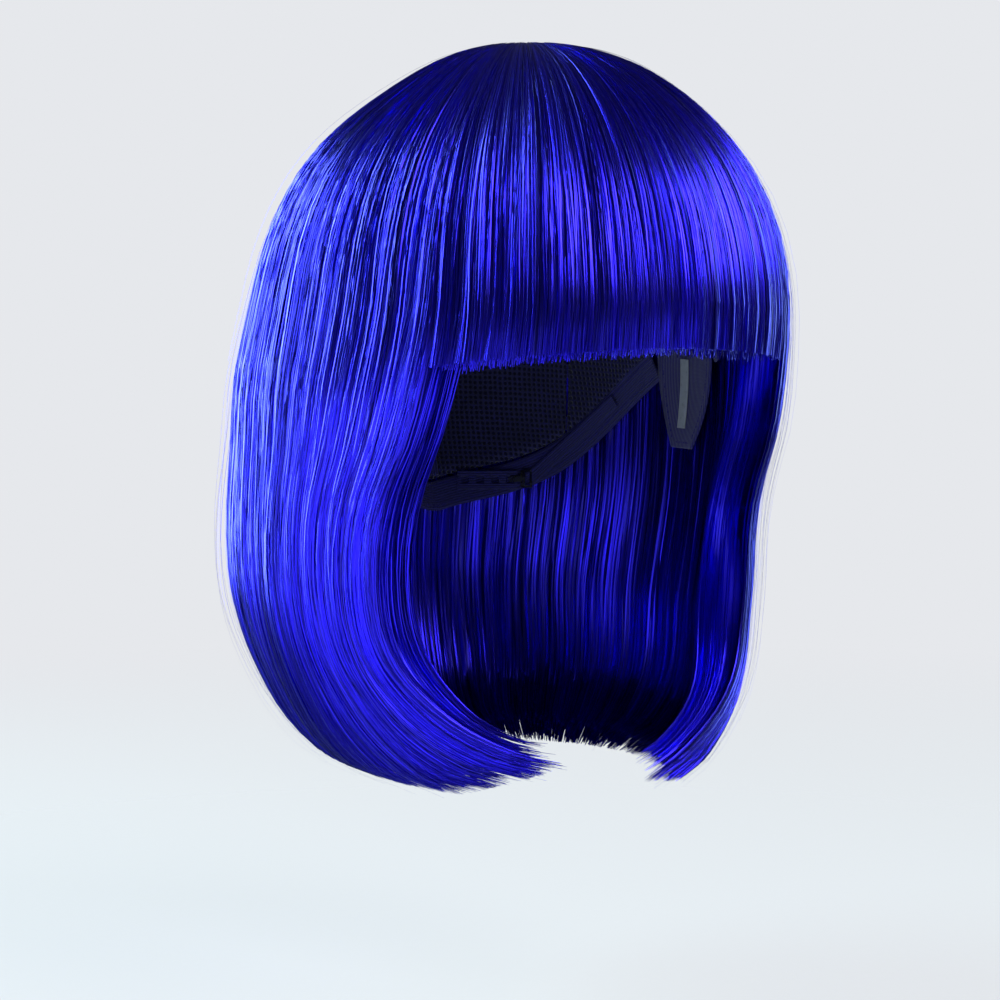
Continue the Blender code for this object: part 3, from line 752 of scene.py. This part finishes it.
FRINGE_OUTER = dict(
    stations=22, start=0.03, end=fringe_end, share=(0.93, 0.99),
    ragged=0.0010, clumps=60, pull=0.16, drift=0.5, spread=0.08, blunt=0.6,
)
FRINGE_INNER = dict(
    stations=14, start=0.45, end=fringe_end, share=(0.12, 0.88),
    ragged=0.0016, clumps=40, pull=0.2, drift=0.8, emerge=0.1, spread=0.3, blunt=0.6,
)
LOCK_OUTER = dict(
    stations=34, start=0.03, end=1.985, share=(0.925, 0.99),
    ragged=0.012, clumps=16, pull=0.34, drift=0.6, spread=0.1,
)
LOCK_INNER = dict(
    stations=24, start=0.70, end=1.96, share=(0.03, 0.86),
    ragged=0.02, clumps=14, pull=0.5, drift=0.8, emerge=0.05, spread=0.2,
)
BACK_OUTER = dict(
    stations=32, start=0.03, end=1.985, share=(0.925, 0.99),
    ragged=0.009, clumps=30, pull=0.35, drift=0.7, spread=0.1, blunt=0.5,
)
BACK_MIDDLE = dict(
    stations=20, start=1.1, end=1.965, share=(0.30, 0.88),
    ragged=0.012, clumps=26, pull=0.3, drift=0.8, spread=0.3, blunt=0.7,
)
BACK_NAPE = dict(
    stations=22, end=1.955, share=(0.0, 0.30),
    ragged=0.012, clumps=26, pull=0.3, drift=0.8, spread=0.04, blunt=0.7,
)
CROWN_FIBRES = dict(
    stations=16, start=0.022, end=0.42, share=(0.90, 1.0),
    ragged=0.05, clumps=60, pull=0.2, drift=8.0, spread=0.07,
)


def bend_between(x, y, low):
    """Two points at x and y, one at a height of -0.045 and one at low."""
    return (x, y, -0.045), (x, y, low)


FRINGE_BEND = bend_between(0, -0.10, -0.085)


class WIG_OT_fringe(bpy.types.Operator):
    """Makes the fringe, and the hair over the front of the crown that it comes from"""

    bl_idname = "wig.fringe"
    bl_label = "Fringe"

    def execute(self, context):
        hair = context.scene.wig_hair
        rng = np.random.default_rng(11)
        shiny, packed = hair_materials(hair, "fringe")
        count, width = hair.fringe_fibres, hair.fibre_width
        outer = groom(rng, fringe_lane, count, width, **FRINGE_OUTER)
        outer = fibres("fringe_fibres_outer", *outer, shiny)
        inner = groom(rng, fringe_lane, count * 2 // 3, width, **FRINGE_INNER)
        inner = fibres("fringe_fibres_inner", *inner, shiny)
        mass = hair_mass("fringe_mass", fringe_lane, 0.925, 0.02, (190, 26), packed, rng, 0.18)
        place(outer, "fringe", "fringe_outer", FRINGE_BEND)
        place(inner, "fringe", "fringe_inner", FRINGE_BEND)
        place(mass, "fringe", "crown_hair_front", FRINGE_BEND)
        return {"FINISHED"}


class WIG_OT_locks(bpy.types.Operator):
    """Makes the lock in front of each ear, curling in under the jaw"""

    bl_idname = "wig.locks"
    bl_label = "Front locks"

    def execute(self, context):
        hair = context.scene.wig_hair
        shiny, packed = hair_materials(hair, "locks")
        count, width = hair.lock_fibres, hair.fibre_width
        for name, side in SIDES:
            rng = np.random.default_rng(23 + side)
            lane = lock_lane(side)
            outer = groom(rng, lane, count, width, **LOCK_OUTER)
            outer = fibres(f"lock_fibres_outer_{name}", *outer, shiny)
            inner = groom(rng, lane, count, width, **LOCK_INNER)
            inner = fibres(f"lock_fibres_inner_{name}", *inner, shiny)

            def narrower(across, down, lane=lane):
                return lane(0.04 + 0.96 * across, down)

            mass = hair_mass(f"lock_mass_{name}", narrower, 1.92, 0.10, (80, 48), packed, rng)
            bend = bend_between(side * 0.085, -0.05, -0.090)
            body = f"side_lock_{name}"
            place(outer, body, f"side_lock_outer_{name}", bend)
            place(inner, body, f"side_lock_inner_{name}", bend)
            place(mass, body, f"crown_hair_{name}", bend)
        return {"FINISHED"}


class WIG_OT_back(bpy.types.Operator):
    """Makes the hair behind the ears, in its outer, middle and nape layers"""

    bl_idname = "wig.back"
    bl_label = "Back hair"

    def execute(self, context):
        hair = context.scene.wig_hair
        shiny, packed = hair_materials(hair, "back")
        count, width = hair.back_fibres, hair.fibre_width
        thirds = (("left", 80, 140), ("center", 140, 220), ("right", 220, 280))
        for k, (name, first, last) in enumerate(thirds):
            rng = np.random.default_rng(37 + k)
            lane = back_lane(first, last)
            outer = groom(rng, lane, count, width, **BACK_OUTER)
            outer = fibres(f"back_fibres_outer_{name}", *outer, shiny)
            middle = groom(rng, lane, count * 2 // 3, width, **BACK_MIDDLE)
            middle = fibres(f"back_fibres_middle_{name}", *middle, shiny)
            nape = groom(rng, lane, count * 2 // 3, width, start=nape_start(first, last), **BACK_NAPE)
            nape = fibres(f"nape_fibres_{name}", *nape, shiny)
            mass = hair_mass(f"back_mass_{name}", lane, 1.92, 0.06, (150, 48), packed, rng)
            place(outer, "cap", f"back_hair_{name}")
            place(middle, "cap", f"under_hair_{name}")
            place(nape, "cap", f"nape_hair_{name}")
            place(mass, "cap")
        return {"FINISHED"}


def strays(rng, lane, count, start, end, lift, width, sweep):
    """Spines, outward directions, widths and tones of single fibres that stand off the hair."""
    stations = 22
    run = np.linspace(0, 1, stations)[None, :]
    across = rng.random(count)[:, None]
    first = start + 0.5 * (end - start) * rng.random(count)[:, None]
    last = np.minimum(first + (end - start) * rng.uniform(0.35, 1.0, count)[:, None], end)
    down = first + (last - first) * run
    bow = np.sin(pi * run * rng.uniform(0.55, 1.0, count)[:, None])
    turn = lane(across, down) + rng.normal(0, sweep, count)[:, None] * run**1.5
    points, outs = hair_points(turn, down, np.full(down.shape, 0.985))
    points = points + outs * (bow * lift * rng.random(count)[:, None] ** 1.5)[..., None]
    widths = np.full(down.shape, width) * (1 - 0.6 * run)
    return points, outs, widths, np.clip(rng.normal(0.6, 0.2, count), 0, 1)


class WIG_OT_strays(bpy.types.Operator):
    """Makes the single fibres that stand off the wig's outline"""

    bl_idname = "wig.strays"
    bl_label = "Stray fibres"

    def execute(self, context):
        hair = context.scene.wig_hair
        shiny = fibre_material("loose_modacrylic_fibre", hair, 0.006, 0.3)
        # Name, body, lane, count, start, end, lift, sweep in degrees, and a point given to place as its
        # bend.
        groups = (
            ("fringe", "fringe", fringe_lane, 70, 0.08, 0.95, 0.003, 1.2, (0, -0.10)),
            ("lock_left", "side_lock_left", lock_lane(1), 36, 0.2, 2.0, 0.006, 3.0, (0.085, -0.05)),
            ("lock_right", "side_lock_right", lock_lane(-1), 36, 0.2, 2.0, 0.006, 3.0, (-0.085, -0.05)),
            ("back", "cap", back_lane(80, 280), 110, 0.06, 2.0, 0.006, 3.0, None),
        )
        for k, (name, body, lane, count, start, end, lift, sweep, spot) in enumerate(groups):
            rng = np.random.default_rng(71 + k)
            made = strays(rng, lane, count, start, end, lift, hair.flyaway_width, sweep)
            obj = fibres(f"stray_fibres_{name}", *made, shiny)
            bend = spot and bend_between(*spot, -0.088)
            place(obj, body, None, bend)
        return {"FINISHED"}


# ---- the cap ----

HEAD_MIDDLE = np.array((0, 0, -0.12))
# A tape's section: selvedges a little thicker than the middle. Shares of its width and thickness.
TAPE_TOP = ((-0.5, 0.0), (-0.475, 0.42), (-0.43, 0.5), (-0.38, 0.36), (-0.19, 0.33))
TAPE_TOP += ((0.0, 0.33), (0.19, 0.33), (0.38, 0.36), (0.43, 0.5), (0.475, 0.42))
TAPE_SECTION = np.array(TAPE_TOP + tuple((-x, -y) for x, y in TAPE_TOP))


def outwards(spine, across):
    """Directions out of the head, square to a line and to what lies across it."""
    outs = unit(np.cross(np.gradient(spine, axis=0), across))
    facing = np.sum(outs * (spine - HEAD_MIDDLE))
    return outs if facing > 0 else -outs


def tape(name, high, low, thick, material):
    """A woven tape between two edge lines of shape (stations, 3)."""
    spine = (high + low) / 2
    wide = np.linalg.norm(high - low, axis=-1)
    outs = outwards(spine, high - low)
    aside = TAPE_SECTION[:, 0] * wide[:, None]
    outline = np.stack([aside, TAPE_SECTION[:, 1] * thick + 0 * aside], -1)
    rings = sections(spine[None], outs[None], outline[None])
    run = np.concatenate([[0], np.cumsum(np.linalg.norm(np.diff(spine, axis=0), axis=-1))])
    marks = {"across": aside[None], "along": run[None, :, None]}
    return tubes(name, rings, material, marks)


def even_points(line, pitch):
    """Points a pitch apart along a line, how many there are, and the directions along it."""
    run = np.concatenate([[0], np.cumsum(np.linalg.norm(np.diff(line, axis=0), axis=-1))])
    at = np.arange(pitch * 0.6, run[-1] - pitch * 0.5, pitch)
    points = np.stack([np.interp(at, run, line[:, k]) for k in range(3)], -1)
    return points, unit(np.gradient(points, axis=0))


def stitches(name, lines, pitch, thread, material):
    """Rows of lockstitches: short arches of thread along lines of shape (points, 3) on the cap."""
    spines, outs = [], []
    arch = np.linspace(-0.5, 0.5, 5)
    rise = (0.25 - arch**2) * 4 * thread * 0.9 - thread * 0.3
    for line in lines:
        points, along = even_points(line, pitch)
        away = unit(points - HEAD_MIDDLE)
        step = along[:, None] * (arch * pitch * 0.72)[:, None]
        spines.append(points[:, None] + step + away[:, None] * rise[:, None])
        outs.append(np.repeat(away[:, None], len(arch), axis=1))
    corners = np.array(((0, 0.5), (0.5, 0), (0, -0.5), (-0.5, 0))) * thread
    rings = sections(np.concatenate(spines), np.concatenate(outs), corners[None, None])
    return tubes(name, rings, material, {})


def cap_line(turns, falls, depth):
    return cap_point(np.asarray(turns, float), np.asarray(falls, float), depth)


def net_panel(name, turn, fall, thick, material):
    """A panel of net from grids of turn and fall."""
    outer = cap_point(turn, fall, thick)
    wide, tall = spans(outer)
    marks = {"across": wide - wide[:, -1:] / 2, "along": tall}
    return slab(name, outer, cap_point(turn, fall, 0.0), material, marks)


def disc_panel(name, count, reach, depth, thick, material):
    """A square grid spread over a disc of the cap."""
    a, b = np.meshgrid(np.linspace(-1, 1, count), np.linspace(-1, 1, count))
    turn, fall = np.degrees(np.arctan2(a, b)), reach * np.maximum(np.abs(a), np.abs(b))
    outer = cap_point(turn, fall, depth + thick)
    marks = {"across": outer[..., 0], "along": outer[..., 1]}
    return slab(name, outer, cap_point(turn, fall, depth), material, marks)


NET_THICK = 0.0008
NET_GAP = 0.35
BAND_THICK = 0.0014
TRACK_WIDTH = 0.005
TRACK_THICK = 0.0015
TRACK_LIFT = 0.0013
BACK_TRACK_FALLS = (102, 91, 79, 66, 52)
SIDE_TRACK_FALLS = (75, 60)
FRINGE_TRACK_FALLS = (54, 43)
CROWN_TRACK_FALL = 16.0
PATCH_FALL = 11.0
THREAD_WIDTH = 0.0004
STITCH_DEPTH = -0.0001
KNOTTED_FIBRES = 1100
RIB_DEPTH = -0.0019
TAB_HEM = 0.95
EAR_TAB_LENGTH = 0.045


class WIG_OT_crown(bpy.types.Operator):
    """Makes the skin-like base at the crown and the hair that is knotted to it"""

    bl_idname = "wig.crown"
    bl_label = "Crown"

    def execute(self, context):
        hair = context.scene.wig_hair
        rng = np.random.default_rng(5)
        skin = self.skin(context.scene.wig_cap)
        base = disc_panel("crown_base", 25, PATCH_FALL, NET_THICK + 0.0005, NET_THICK, skin)
        place(base, "cap", "crown_patch")
        shiny = fibre_material("knotted_modacrylic_fibre", hair, 0.030, SHINY_SHEEN)
        made = groom(rng, back_lane(0, 360), KNOTTED_FIBRES, hair.fibre_width, **CROWN_FIBRES)
        knotted = fibres("crown_fibres", *made, shiny)
        place(knotted, "cap", "crown_closure")
        return {"FINISHED"}

    def skin(self, cap):
        """Cast polyurethane film, matt and faintly cloudy, with a dark knot where each tuft goes in."""
        material, tree = new_material("cast_polyurethane_base")
        _, _, spot = on_cloth(tree)
        # Knots are 1.2 mm apart.
        voronoi = {"Vector": spot, "Scale": 830.0, "Randomness": 0.35}
        cells = node(tree, "TexVoronoi", voronoi, "Distance")
        knot = node(tree, "MapRange", (cells, 0.18, 0.32, 1.0, 0.0))
        cloud = node(tree, "TexNoise", {"Vector": spot, "Scale": 160.0, "Detail": 2.0}, "Fac")
        dark, light = shades(cap.skin, 0.8, 1.0)
        film = node(tree, "Mix", {0: cloud, 6: dark, 7: light}, 2, data_type="RGBA")
        inputs = {
            "Base Color": node(tree, "Mix", {0: knot, 6: film, 7: cap.thread}, 2, data_type="RGBA"),
            "Roughness": node(tree, "MapRange", (knot, 0.0, 1.0, 0.48, 0.8)),
            "IOR": 1.5,
            "Normal": node(tree, "Bump", {"Strength": 1.0, "Distance": 0.0002, "Height": knot}),
        }
        return finish(material, inputs)


class WIG_OT_net(bpy.types.Operator):
    """Makes the crown panel of the net and the four panels below it"""

    bl_idname = "wig.net"
    bl_label = "Net"

    def execute(self, context):
        cap = context.scene.wig_cap
        # The dark colour given here is the painted shade in the net's openings.
        net = cloth_material("raschel_knitted_nylon", cap.net, linear("0A0938"), cap.net_hole, 0.7)
        crown = disc_panel("cap_crown_panel", 49, CROWN_FALL, 0.0, NET_THICK, net)
        self.stretch(crown, "net_crown", (0.119, 0.098), 0.0086)
        # Each panel's name, first and last turn, and the flat size and area of its cut.
        seams = (
            ("front", -FRONT_SEAM, FRONT_SEAM, (0.112, 0.054), 0.0046),
            ("left", FRONT_SEAM, BACK_SEAM, (0.163, 0.130), 0.0108),
            ("back", BACK_SEAM, 360 - BACK_SEAM, (0.130, 0.153), 0.0165),
            ("right", -BACK_SEAM, -FRONT_SEAM, (0.163, 0.130), 0.0108),
        )
        for name, start, end, flat, area in seams:
            turn = np.linspace(start + NET_GAP, end - NET_GAP, 46)[None, :]
            top = CROWN_FALL + 2 * NET_GAP
            low = cap_edge(turn) - BAND_FALL - NET_GAP
            fall = top + (low - top) * np.linspace(0, 1, 34)[:, None]
            panel = net_panel(f"cap_{name}_panel", turn + 0 * fall, fall, NET_THICK, net)
            self.stretch(panel, f"net_{name}", flat, area)
        return {"FINISHED"}

    def stretch(self, obj, replaced, flat, area):
        place(obj, "cap", replaced)


class WIG_OT_tapes(bpy.types.Operator):
    """Makes the bands round the cap's edge, the ribs inside it and the weft headers on it"""

    bl_idname = "wig.tapes"
    bl_label = "Bands, ribs and wefts"

    def execute(self, context):
        cap = context.scene.wig_cap
        woven = tape_material("woven_elastic_band", cap.tape, 0.0011, 0.62)
        header = tape_material("overlocked_polyester_header", cap.thread, 0.0009, 0.5)
        thread = smooth_material("spun_polyester_thread", cap.thread, 0.5, 0.0, 1.5, 0.0006)
        rows = []
        bands = (
            ("front_band", "forehead_band", 1 - EAR_TAB_FRONT, EAR_TAB_FRONT - 1),
            ("nape_band", "nape_elastic", EAR_TAB_BACK + 1, 359 - EAR_TAB_BACK),
        )
        for node_name, name, start, end in bands:
            turn = np.linspace(start, end, 90)
            edge = cap_edge(turn)
            middle = BAND_THICK / 2
            high = cap_line(turn, edge - BAND_FALL + NET_GAP, middle)
            low = cap_line(turn, edge, middle)
            place(tape(name, high, low, BAND_THICK, woven), "cap", node_name)
            for inset in (1.0, BAND_FALL - 1.2):
                rows.append(cap_line(turn, edge - inset, STITCH_DEPTH))
        for name, turn in (("center_rib", 180), ("side_rib_left", 76), ("side_rib_right", -76)):
            fall = np.linspace(20, cap_edge(turn) - BAND_FALL - 1, 60)
            half = cap_angle(0.004) / np.maximum(np.sin(np.radians(fall)), 0.3)
            one = cap_line(turn + half, fall, RIB_DEPTH)
            other = cap_line(turn - half, fall, RIB_DEPTH)
            place(tape(f"{name}_tape", one, other, 0.001, woven), "cap", name)
            for share in (-0.75, 0.75):
                rows.append(cap_line(turn + half * share, fall, -0.0025))
        for node_name, start, end, fall in self.tracks():
            turn = np.linspace(start, end, 100)
            half = cap_angle(TRACK_WIDTH) / 2
            middle = TRACK_LIFT + TRACK_THICK / 2
            high = cap_line(turn, fall - half, middle)
            low = cap_line(turn, fall + half, middle)
            row = tape(f"{node_name}_header", high, low, TRACK_THICK, header)
            place(row, "cap", node_name)
        sewn = stitches("cap_stitching", rows, cap.stitch_pitch, THREAD_WIDTH, thread)
        place(sewn, "cap")
        return {"FINISHED"}

    def tracks(self):
        for row, fall in enumerate(BACK_TRACK_FALLS, 1):
            turn = 180.0
            while turn > EAR_TAB_FRONT and cap_edge(turn) - BAND_FALL - 3 > fall:
                turn -= 1
            reach = max(turn, EAR_TAB_BACK)
            yield f"back_track_{row}", reach, 360 - reach, fall
        for row, fall in enumerate(SIDE_TRACK_FALLS, 1):
            front = 52 if fall < 70 else 70
            yield f"side_track_left_{row}", front, 103, fall
            yield f"side_track_right_{row}", -103, -front, fall
        for row, fall in enumerate(FRINGE_TRACK_FALLS, 1):
            yield f"fringe_track_{row}", -43, 43, fall
        yield "crown_track", 0.2, 359.8, CROWN_TRACK_FALL


def tab_taper(down):
    """An ear tab's width as a share of its width at the top."""
    return 1 - 0.62 * down**2.2


class WIG_OT_ear_tabs(bpy.types.Operator):
    """Makes the tabs in front of the ears, each with a stay that bends to the temple"""

    bl_idname = "wig.ear_tabs"
    bl_label = "Ear tabs"

    def execute(self, context):
        cap = context.scene.wig_cap
        woven = tape_material("woven_elastic_tab", cap.tape, 0.0011, 0.62)
        thread = smooth_material("spun_polyester_tab_thread", cap.thread, 0.5, 0.0, 1.5, 0.0006)
        stay = smooth_material("extruded_nylon_stay", cap.stay, 0.32, 0.0, 1.53, 0.002)
        middle = (EAR_TAB_FRONT + EAR_TAB_BACK) / 2
        half = (EAR_TAB_BACK - EAR_TAB_FRONT) / 2
        top = float(cap_edge(middle)) - BAND_FALL + 2 * NET_GAP
        bottom = top + cap_angle(EAR_TAB_LENGTH, CAP_HEIGHT)
        for name, side in SIDES:
            a = np.linspace(-1, 1, 34)[None, :]
            b = np.linspace(0, 1, 44)[:, None]
            width = half * tab_taper(b)
            rise = cap_edge(middle + half * a) - cap_edge(middle)
            turn = side * (middle + width * a)
            fall = top + (bottom - top) * b + rise * (1 - b)
            rim = 0.35 + 0.65 * ease(0.0, 0.10, np.minimum(1 - np.abs(a), 1.04 - b + 0 * a))
            outer = cap_point(turn, fall, BAND_THICK * (0.5 + 0.5 * rim))
            inner = cap_point(turn, fall, BAND_THICK * (0.5 - 0.5 * rim))
            wide = a * width * radians(1) * CAP_HALF_LENGTH
            tall = b * EAR_TAB_LENGTH + 0 * a
            tab = slab(f"tab_cloth_{name}", outer, inner, woven, {"across": wide, "along": tall})
            hem = np.linspace(0.04, 1, 60)
            edge = 0.84 * half * tab_taper(hem)
            end_fall = top + (bottom - top) * TAB_HEM
            falls = top + (bottom - top) * (hem * TAB_HEM)
            lines = [cap_line(side * (middle + way * edge), falls, STITCH_DEPTH) for way in (-1, 1)]
            end_turn = side * (middle + np.linspace(-1, 1, 20) * edge[-1])
            lines.append(cap_line(end_turn, end_fall, STITCH_DEPTH))
            pitch = cap.stitch_pitch * 0.8
            sewn = stitches(f"tab_stitching_{name}", lines, pitch, THREAD_WIDTH, thread)
            place(tab, f"ear_tab_{name}", f"ear_tab_{name}")
            place(sewn, f"ear_tab_{name}")
            soften(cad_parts[f"ear_stay_{name}"], stay, 0.0002)
        return {"FINISHED"}


def soften(obj, material, width):
    """Gives a part from the model its finish and a small round on its edges."""
    obj.data.materials.clear()
    obj.data.materials.append(material)
    round_off = obj.modifiers.new("round", "BEVEL")
    round_off.width = width
    round_off.segments = 2
    round_off.limit_method = "ANGLE"


def nape_frame(side):
    """The strap line at the nape: its start, and axes along it, up the cap and into the head."""
    fall = cap_edge(160) - BAND_FALL / 2
    start = Vector(cap_point(side * LADDER_OUTER_TURN, fall, LADDER_DEPTH))
    end = Vector(cap_point(side * LADDER_INNER_TURN, fall, LADDER_DEPTH))
    along = (end - start).normalized()
    turn = side * (LADDER_OUTER_TURN + LADDER_INNER_TURN) / 2
    up = Vector(cap_point(turn, fall - 2, 0) - cap_point(turn, fall + 2, 0))
    inward = along.cross(up).normalized()
    if inward.y > 0:
        inward.negate()
    up = inward.cross(along)
    if up.z < 0:
        up.negate()
    return start, along, up, inward


class WIG_OT_straps(bpy.types.Operator):
    """Makes the straps that take the cap in at the nape, with their hooks and ladders"""

    bl_idname = "wig.straps"
    bl_label = "Nape straps"

    def execute(self, context):
        cap = context.scene.wig_cap
        woven = tape_material("woven_elastic_strap", cap.tape, 0.0011, 0.58)
        steel = smooth_material("nickel_plated_steel", cap.steel, 0.24, 1.0, 1.5, 0.003)
        for name, side in SIDES:
            start, along, up, inward = nape_frame(side)
            self.ladder(name, start, along, up, woven)
            soften(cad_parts[f"strap_hook_{name}"], steel, 0.00018)
            hook_at = start + inward * HOOK_LIFT + along * HOOK_REST
            high, low = self.strap_edges(side, hook_at - along * (HOOK_HALF_LENGTH - 0.0008), up)
            strap = tape(f"strap_elastic_{name}", high, low, 0.0008, woven)
            first, last = (high[0] + low[0]) / 2, (high[-1] + low[-1]) / 2
            bend = (tuple(first), tuple(last))
            place(strap, f"strap_hook_{name}", f"adjust_strap_{name}", bend)
        return {"FINISHED"}

    def ladder(self, name, start, along, up, material):
        """The ladder's outline from the model, with rounded edges and its weave running along it."""
        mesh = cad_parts[f"hook_ladder_{name}"].data.copy()
        mesh.name = f"ladder_elastic_{name}"
        obj = bpy.data.objects.new(mesh.name, mesh)
        bpy.context.scene.collection.objects.link(obj)
        spots = np.array([v.co for v in mesh.vertices]) - np.array(start)
        for mark, axis in (("along", along), ("across", up)):
            kept = mesh.attributes.new(mark, "FLOAT", "POINT")
            kept.data.foreach_set("value", (spots @ np.array(axis)).astype(np.float32))
        soften(obj, material, 0.00018)
        place(obj, "cap", f"hook_ladder_{name}")

    def strap_edges(self, side, end, up):
        """The strap's upper and lower edges, from behind the ear along the nape to its hook."""
        first_turn = side * STRAP_START_TURN
        first_fall = cap_edge(first_turn) - BAND_FALL / 2
        across, high = CAP_HALF_WIDTH + STRAP_DEPTH, CAP_HEIGHT + STRAP_DEPTH
        last_turn = degrees(np.arctan2(end.x / across, -end.y / (CAP_HALF_LENGTH + STRAP_DEPTH)))
        last_fall = degrees(np.arccos((end.z + CAP_HEIGHT) / high))
        miss = np.array(end) - cap_point(last_turn, last_fall, STRAP_DEPTH)
        a = np.linspace(0, 1, 60)
        turn = first_turn + (last_turn - first_turn) * a
        fall = first_fall + (last_fall - first_fall) * a
        middle = cap_point(turn, fall, STRAP_DEPTH) + miss * (a**3)[:, None]
        here = unit(cap_point(turn, fall - 1, STRAP_DEPTH) - cap_point(turn, fall + 1, STRAP_DEPTH))
        toward = unit(here + (np.array(up) - here) * (a**2)[:, None])
        return middle + toward * STRAP_WIDTH / 2, middle - toward * STRAP_WIDTH / 2


# The point of the wig at the middle of the photograph.
CAMERA_AIM = Vector((-0.0099, 0.0015, -0.1646))


class WIG_OT_stage(bpy.types.Operator):
    """Sets up the camera, the floor and the soft studio lights"""

    bl_idname = "wig.stage"
    bl_label = "Stage"

    def execute(self, context):
        scene = context.scene
        stage = scene.wig_stage
        camera = bpy.data.objects.new("camera", bpy.data.cameras.new("camera"))
        camera.data.lens = stage.lens
        camera.data.sensor_width = 36
        camera.data.clip_end = 50
        self.stand(camera, CAMERA_AIM, stage.camera_turn, stage.camera_rise, stage.camera_distance)
        scene.camera = camera
        scene.view_settings.view_transform = "Standard"
        corners = np.array(((-1, -1, 0), (1, -1, 0), (1, 1, 0), (-1, 1, 0))) * 6.0
        corners[:, 2] = -stage.floor_drop
        floor = piece("floor", corners, np.arange(4), np.array([4]), self.floor_material(stage), {})
        cool = (0.6, 0.95, 1.0)
        # Name, azimuth, elevation, distance, width, height, power and colour.
        lights = (
            ("key", 34, 33, 1.3, 0.8, 0.8, stage.key_power, (1.0, 1.0, 1.0)),
            ("side", -131, 14, 1.2, 0.9, 1.2, stage.side_power, cool),
            ("rim", 100, 8, 1.4, 0.5, 1.3, stage.rim_power, cool),
            ("bounce", -50, -22, 0.5, 0.8, 0.25, stage.bounce_power, (0.8, 0.95, 1.0)),
        )
        for name, turn, rise, distance, width, height, power, tint in lights:
            lamp = bpy.data.lights.new(name, "AREA")
            lamp.shape = "RECTANGLE"
            lamp.size = width
            lamp.size_y = height
            lamp.energy = power
            lamp.color = tint
            obj = bpy.data.objects.new(name, lamp)
            obj.visible_camera = False
            self.stand(obj, Vector(HEAD_MIDDLE), radians(turn), radians(rise), distance)
        self.sky(scene, stage)
        return {"FINISHED"}

    def stand(self, obj, aim, turn, rise, distance):
        """Stands a camera or lamp at a turn and a rise from a point, facing it."""
        away = Vector((sin(turn) * cos(rise), -cos(turn) * cos(rise), sin(rise)))
        obj.location = aim + away * distance
        obj.rotation_euler = away.to_track_quat("Z", "Y").to_euler()
        bpy.context.scene.collection.objects.link(obj)

    def sky(self, scene, stage):
        """A pale backdrop, which lights the wig only dimly."""
        world = bpy.data.worlds.new("studio")
        world.use_nodes = True
        scene.world = world
        tree = world.node_tree
        seen = node(tree, "LightPath", {}, "Is Camera Ray")
        strength = node(tree, "MapRange", (seen, 0.0, 1.0, 0.05, 1.0))
        wire(tree, tree.nodes["Background"], {"Color": stage.backdrop, "Strength": strength})

    def floor_material(self, stage):
        """Matt painted board with a roller's faint stipple, which fades into the backdrop."""
        material, tree = new_material("rolled_matt_paint")
        spot = node(tree, "NewGeometry", {}, "Position")
        stipple = node(tree, "TexNoise", {"Vector": spot, "Scale": 220.0, "Detail": 3.0}, "Fac")
        seen = node(tree, "LightPath", {}, "Is Camera Ray")
        dark, light = shades(stage.backdrop, 0.14, 0.15)
        inputs = {
            "Base Color": node(tree, "Mix", {0: stipple, 6: dark, 7: light}, 2, data_type="RGBA"),
            "Roughness": 0.85,
            "Emission Color": stage.backdrop,
            "Emission Strength": node(tree, "MapRange", (seen, 0.0, 1.0, 0.05, 0.80)),
            "Normal": node(tree, "Bump", {"Strength": 0.3, "Distance": 0.0004, "Height": stipple}),
        }
        finish(material, inputs)
        far = node(tree, "VectorMath", (spot,), "Value", operation="LENGTH")
        share = node(tree, "MapRange", (far, 0.3, 1.1, 0.0, 1.0))
        board = tree.nodes["Principled BSDF"].outputs[0]
        faded = node(tree, "MixShader", (share, board, node(tree, "BsdfTransparent", {})))
        tree.links.new(faded, tree.nodes["Material Output"].inputs["Surface"])
        return material


class VIEW3D_PT_wig(bpy.types.Panel):
    bl_label = "Costume wig"
    bl_space_type = "VIEW_3D"
    bl_region_type = "UI"
    bl_category = "Wig"

    def draw(self, context):
        for operator in OPERATORS:
            self.layout.operator(operator.bl_idname)
        for name, _ in GROUPS:
            settings = getattr(context.scene, name)
            box = self.layout.box()
            for key in settings.bl_rna.properties.keys():
                if key not in ("rna_type", "name"):
                    box.prop(settings, key)


OPERATORS = (
    WIG_OT_stage,
    WIG_OT_crown,
    WIG_OT_fringe,
    WIG_OT_locks,
    WIG_OT_back,
    WIG_OT_strays,
    WIG_OT_net,
    WIG_OT_tapes,
    WIG_OT_ear_tabs,
    WIG_OT_straps,
)
GROUPS = (("wig_hair", WigHair), ("wig_cap", WigCap), ("wig_stage", WigStage))
CLASSES = (WigHair, WigCap, WigStage, *OPERATORS, VIEW3D_PT_wig)


def register():
    for item in CLASSES:
        bpy.utils.register_class(item)
    for name, group in GROUPS:
        setattr(bpy.types.Scene, name, PointerProperty(type=group))


def unregister():
    for name, _ in GROUPS:
        delattr(bpy.types.Scene, name)
    for item in reversed(CLASSES):
        bpy.utils.unregister_class(item)


def main():
    register()
    bpy.ops.wig.stage()
    bpy.ops.wig.crown()
    bpy.ops.wig.fringe()
    bpy.ops.wig.locks()
    bpy.ops.wig.back()
    bpy.ops.wig.strays()
    bpy.ops.wig.net()
    bpy.ops.wig.tapes()
    bpy.ops.wig.ear_tabs()
    bpy.ops.wig.straps()


if __name__ == "__main__":
    main()
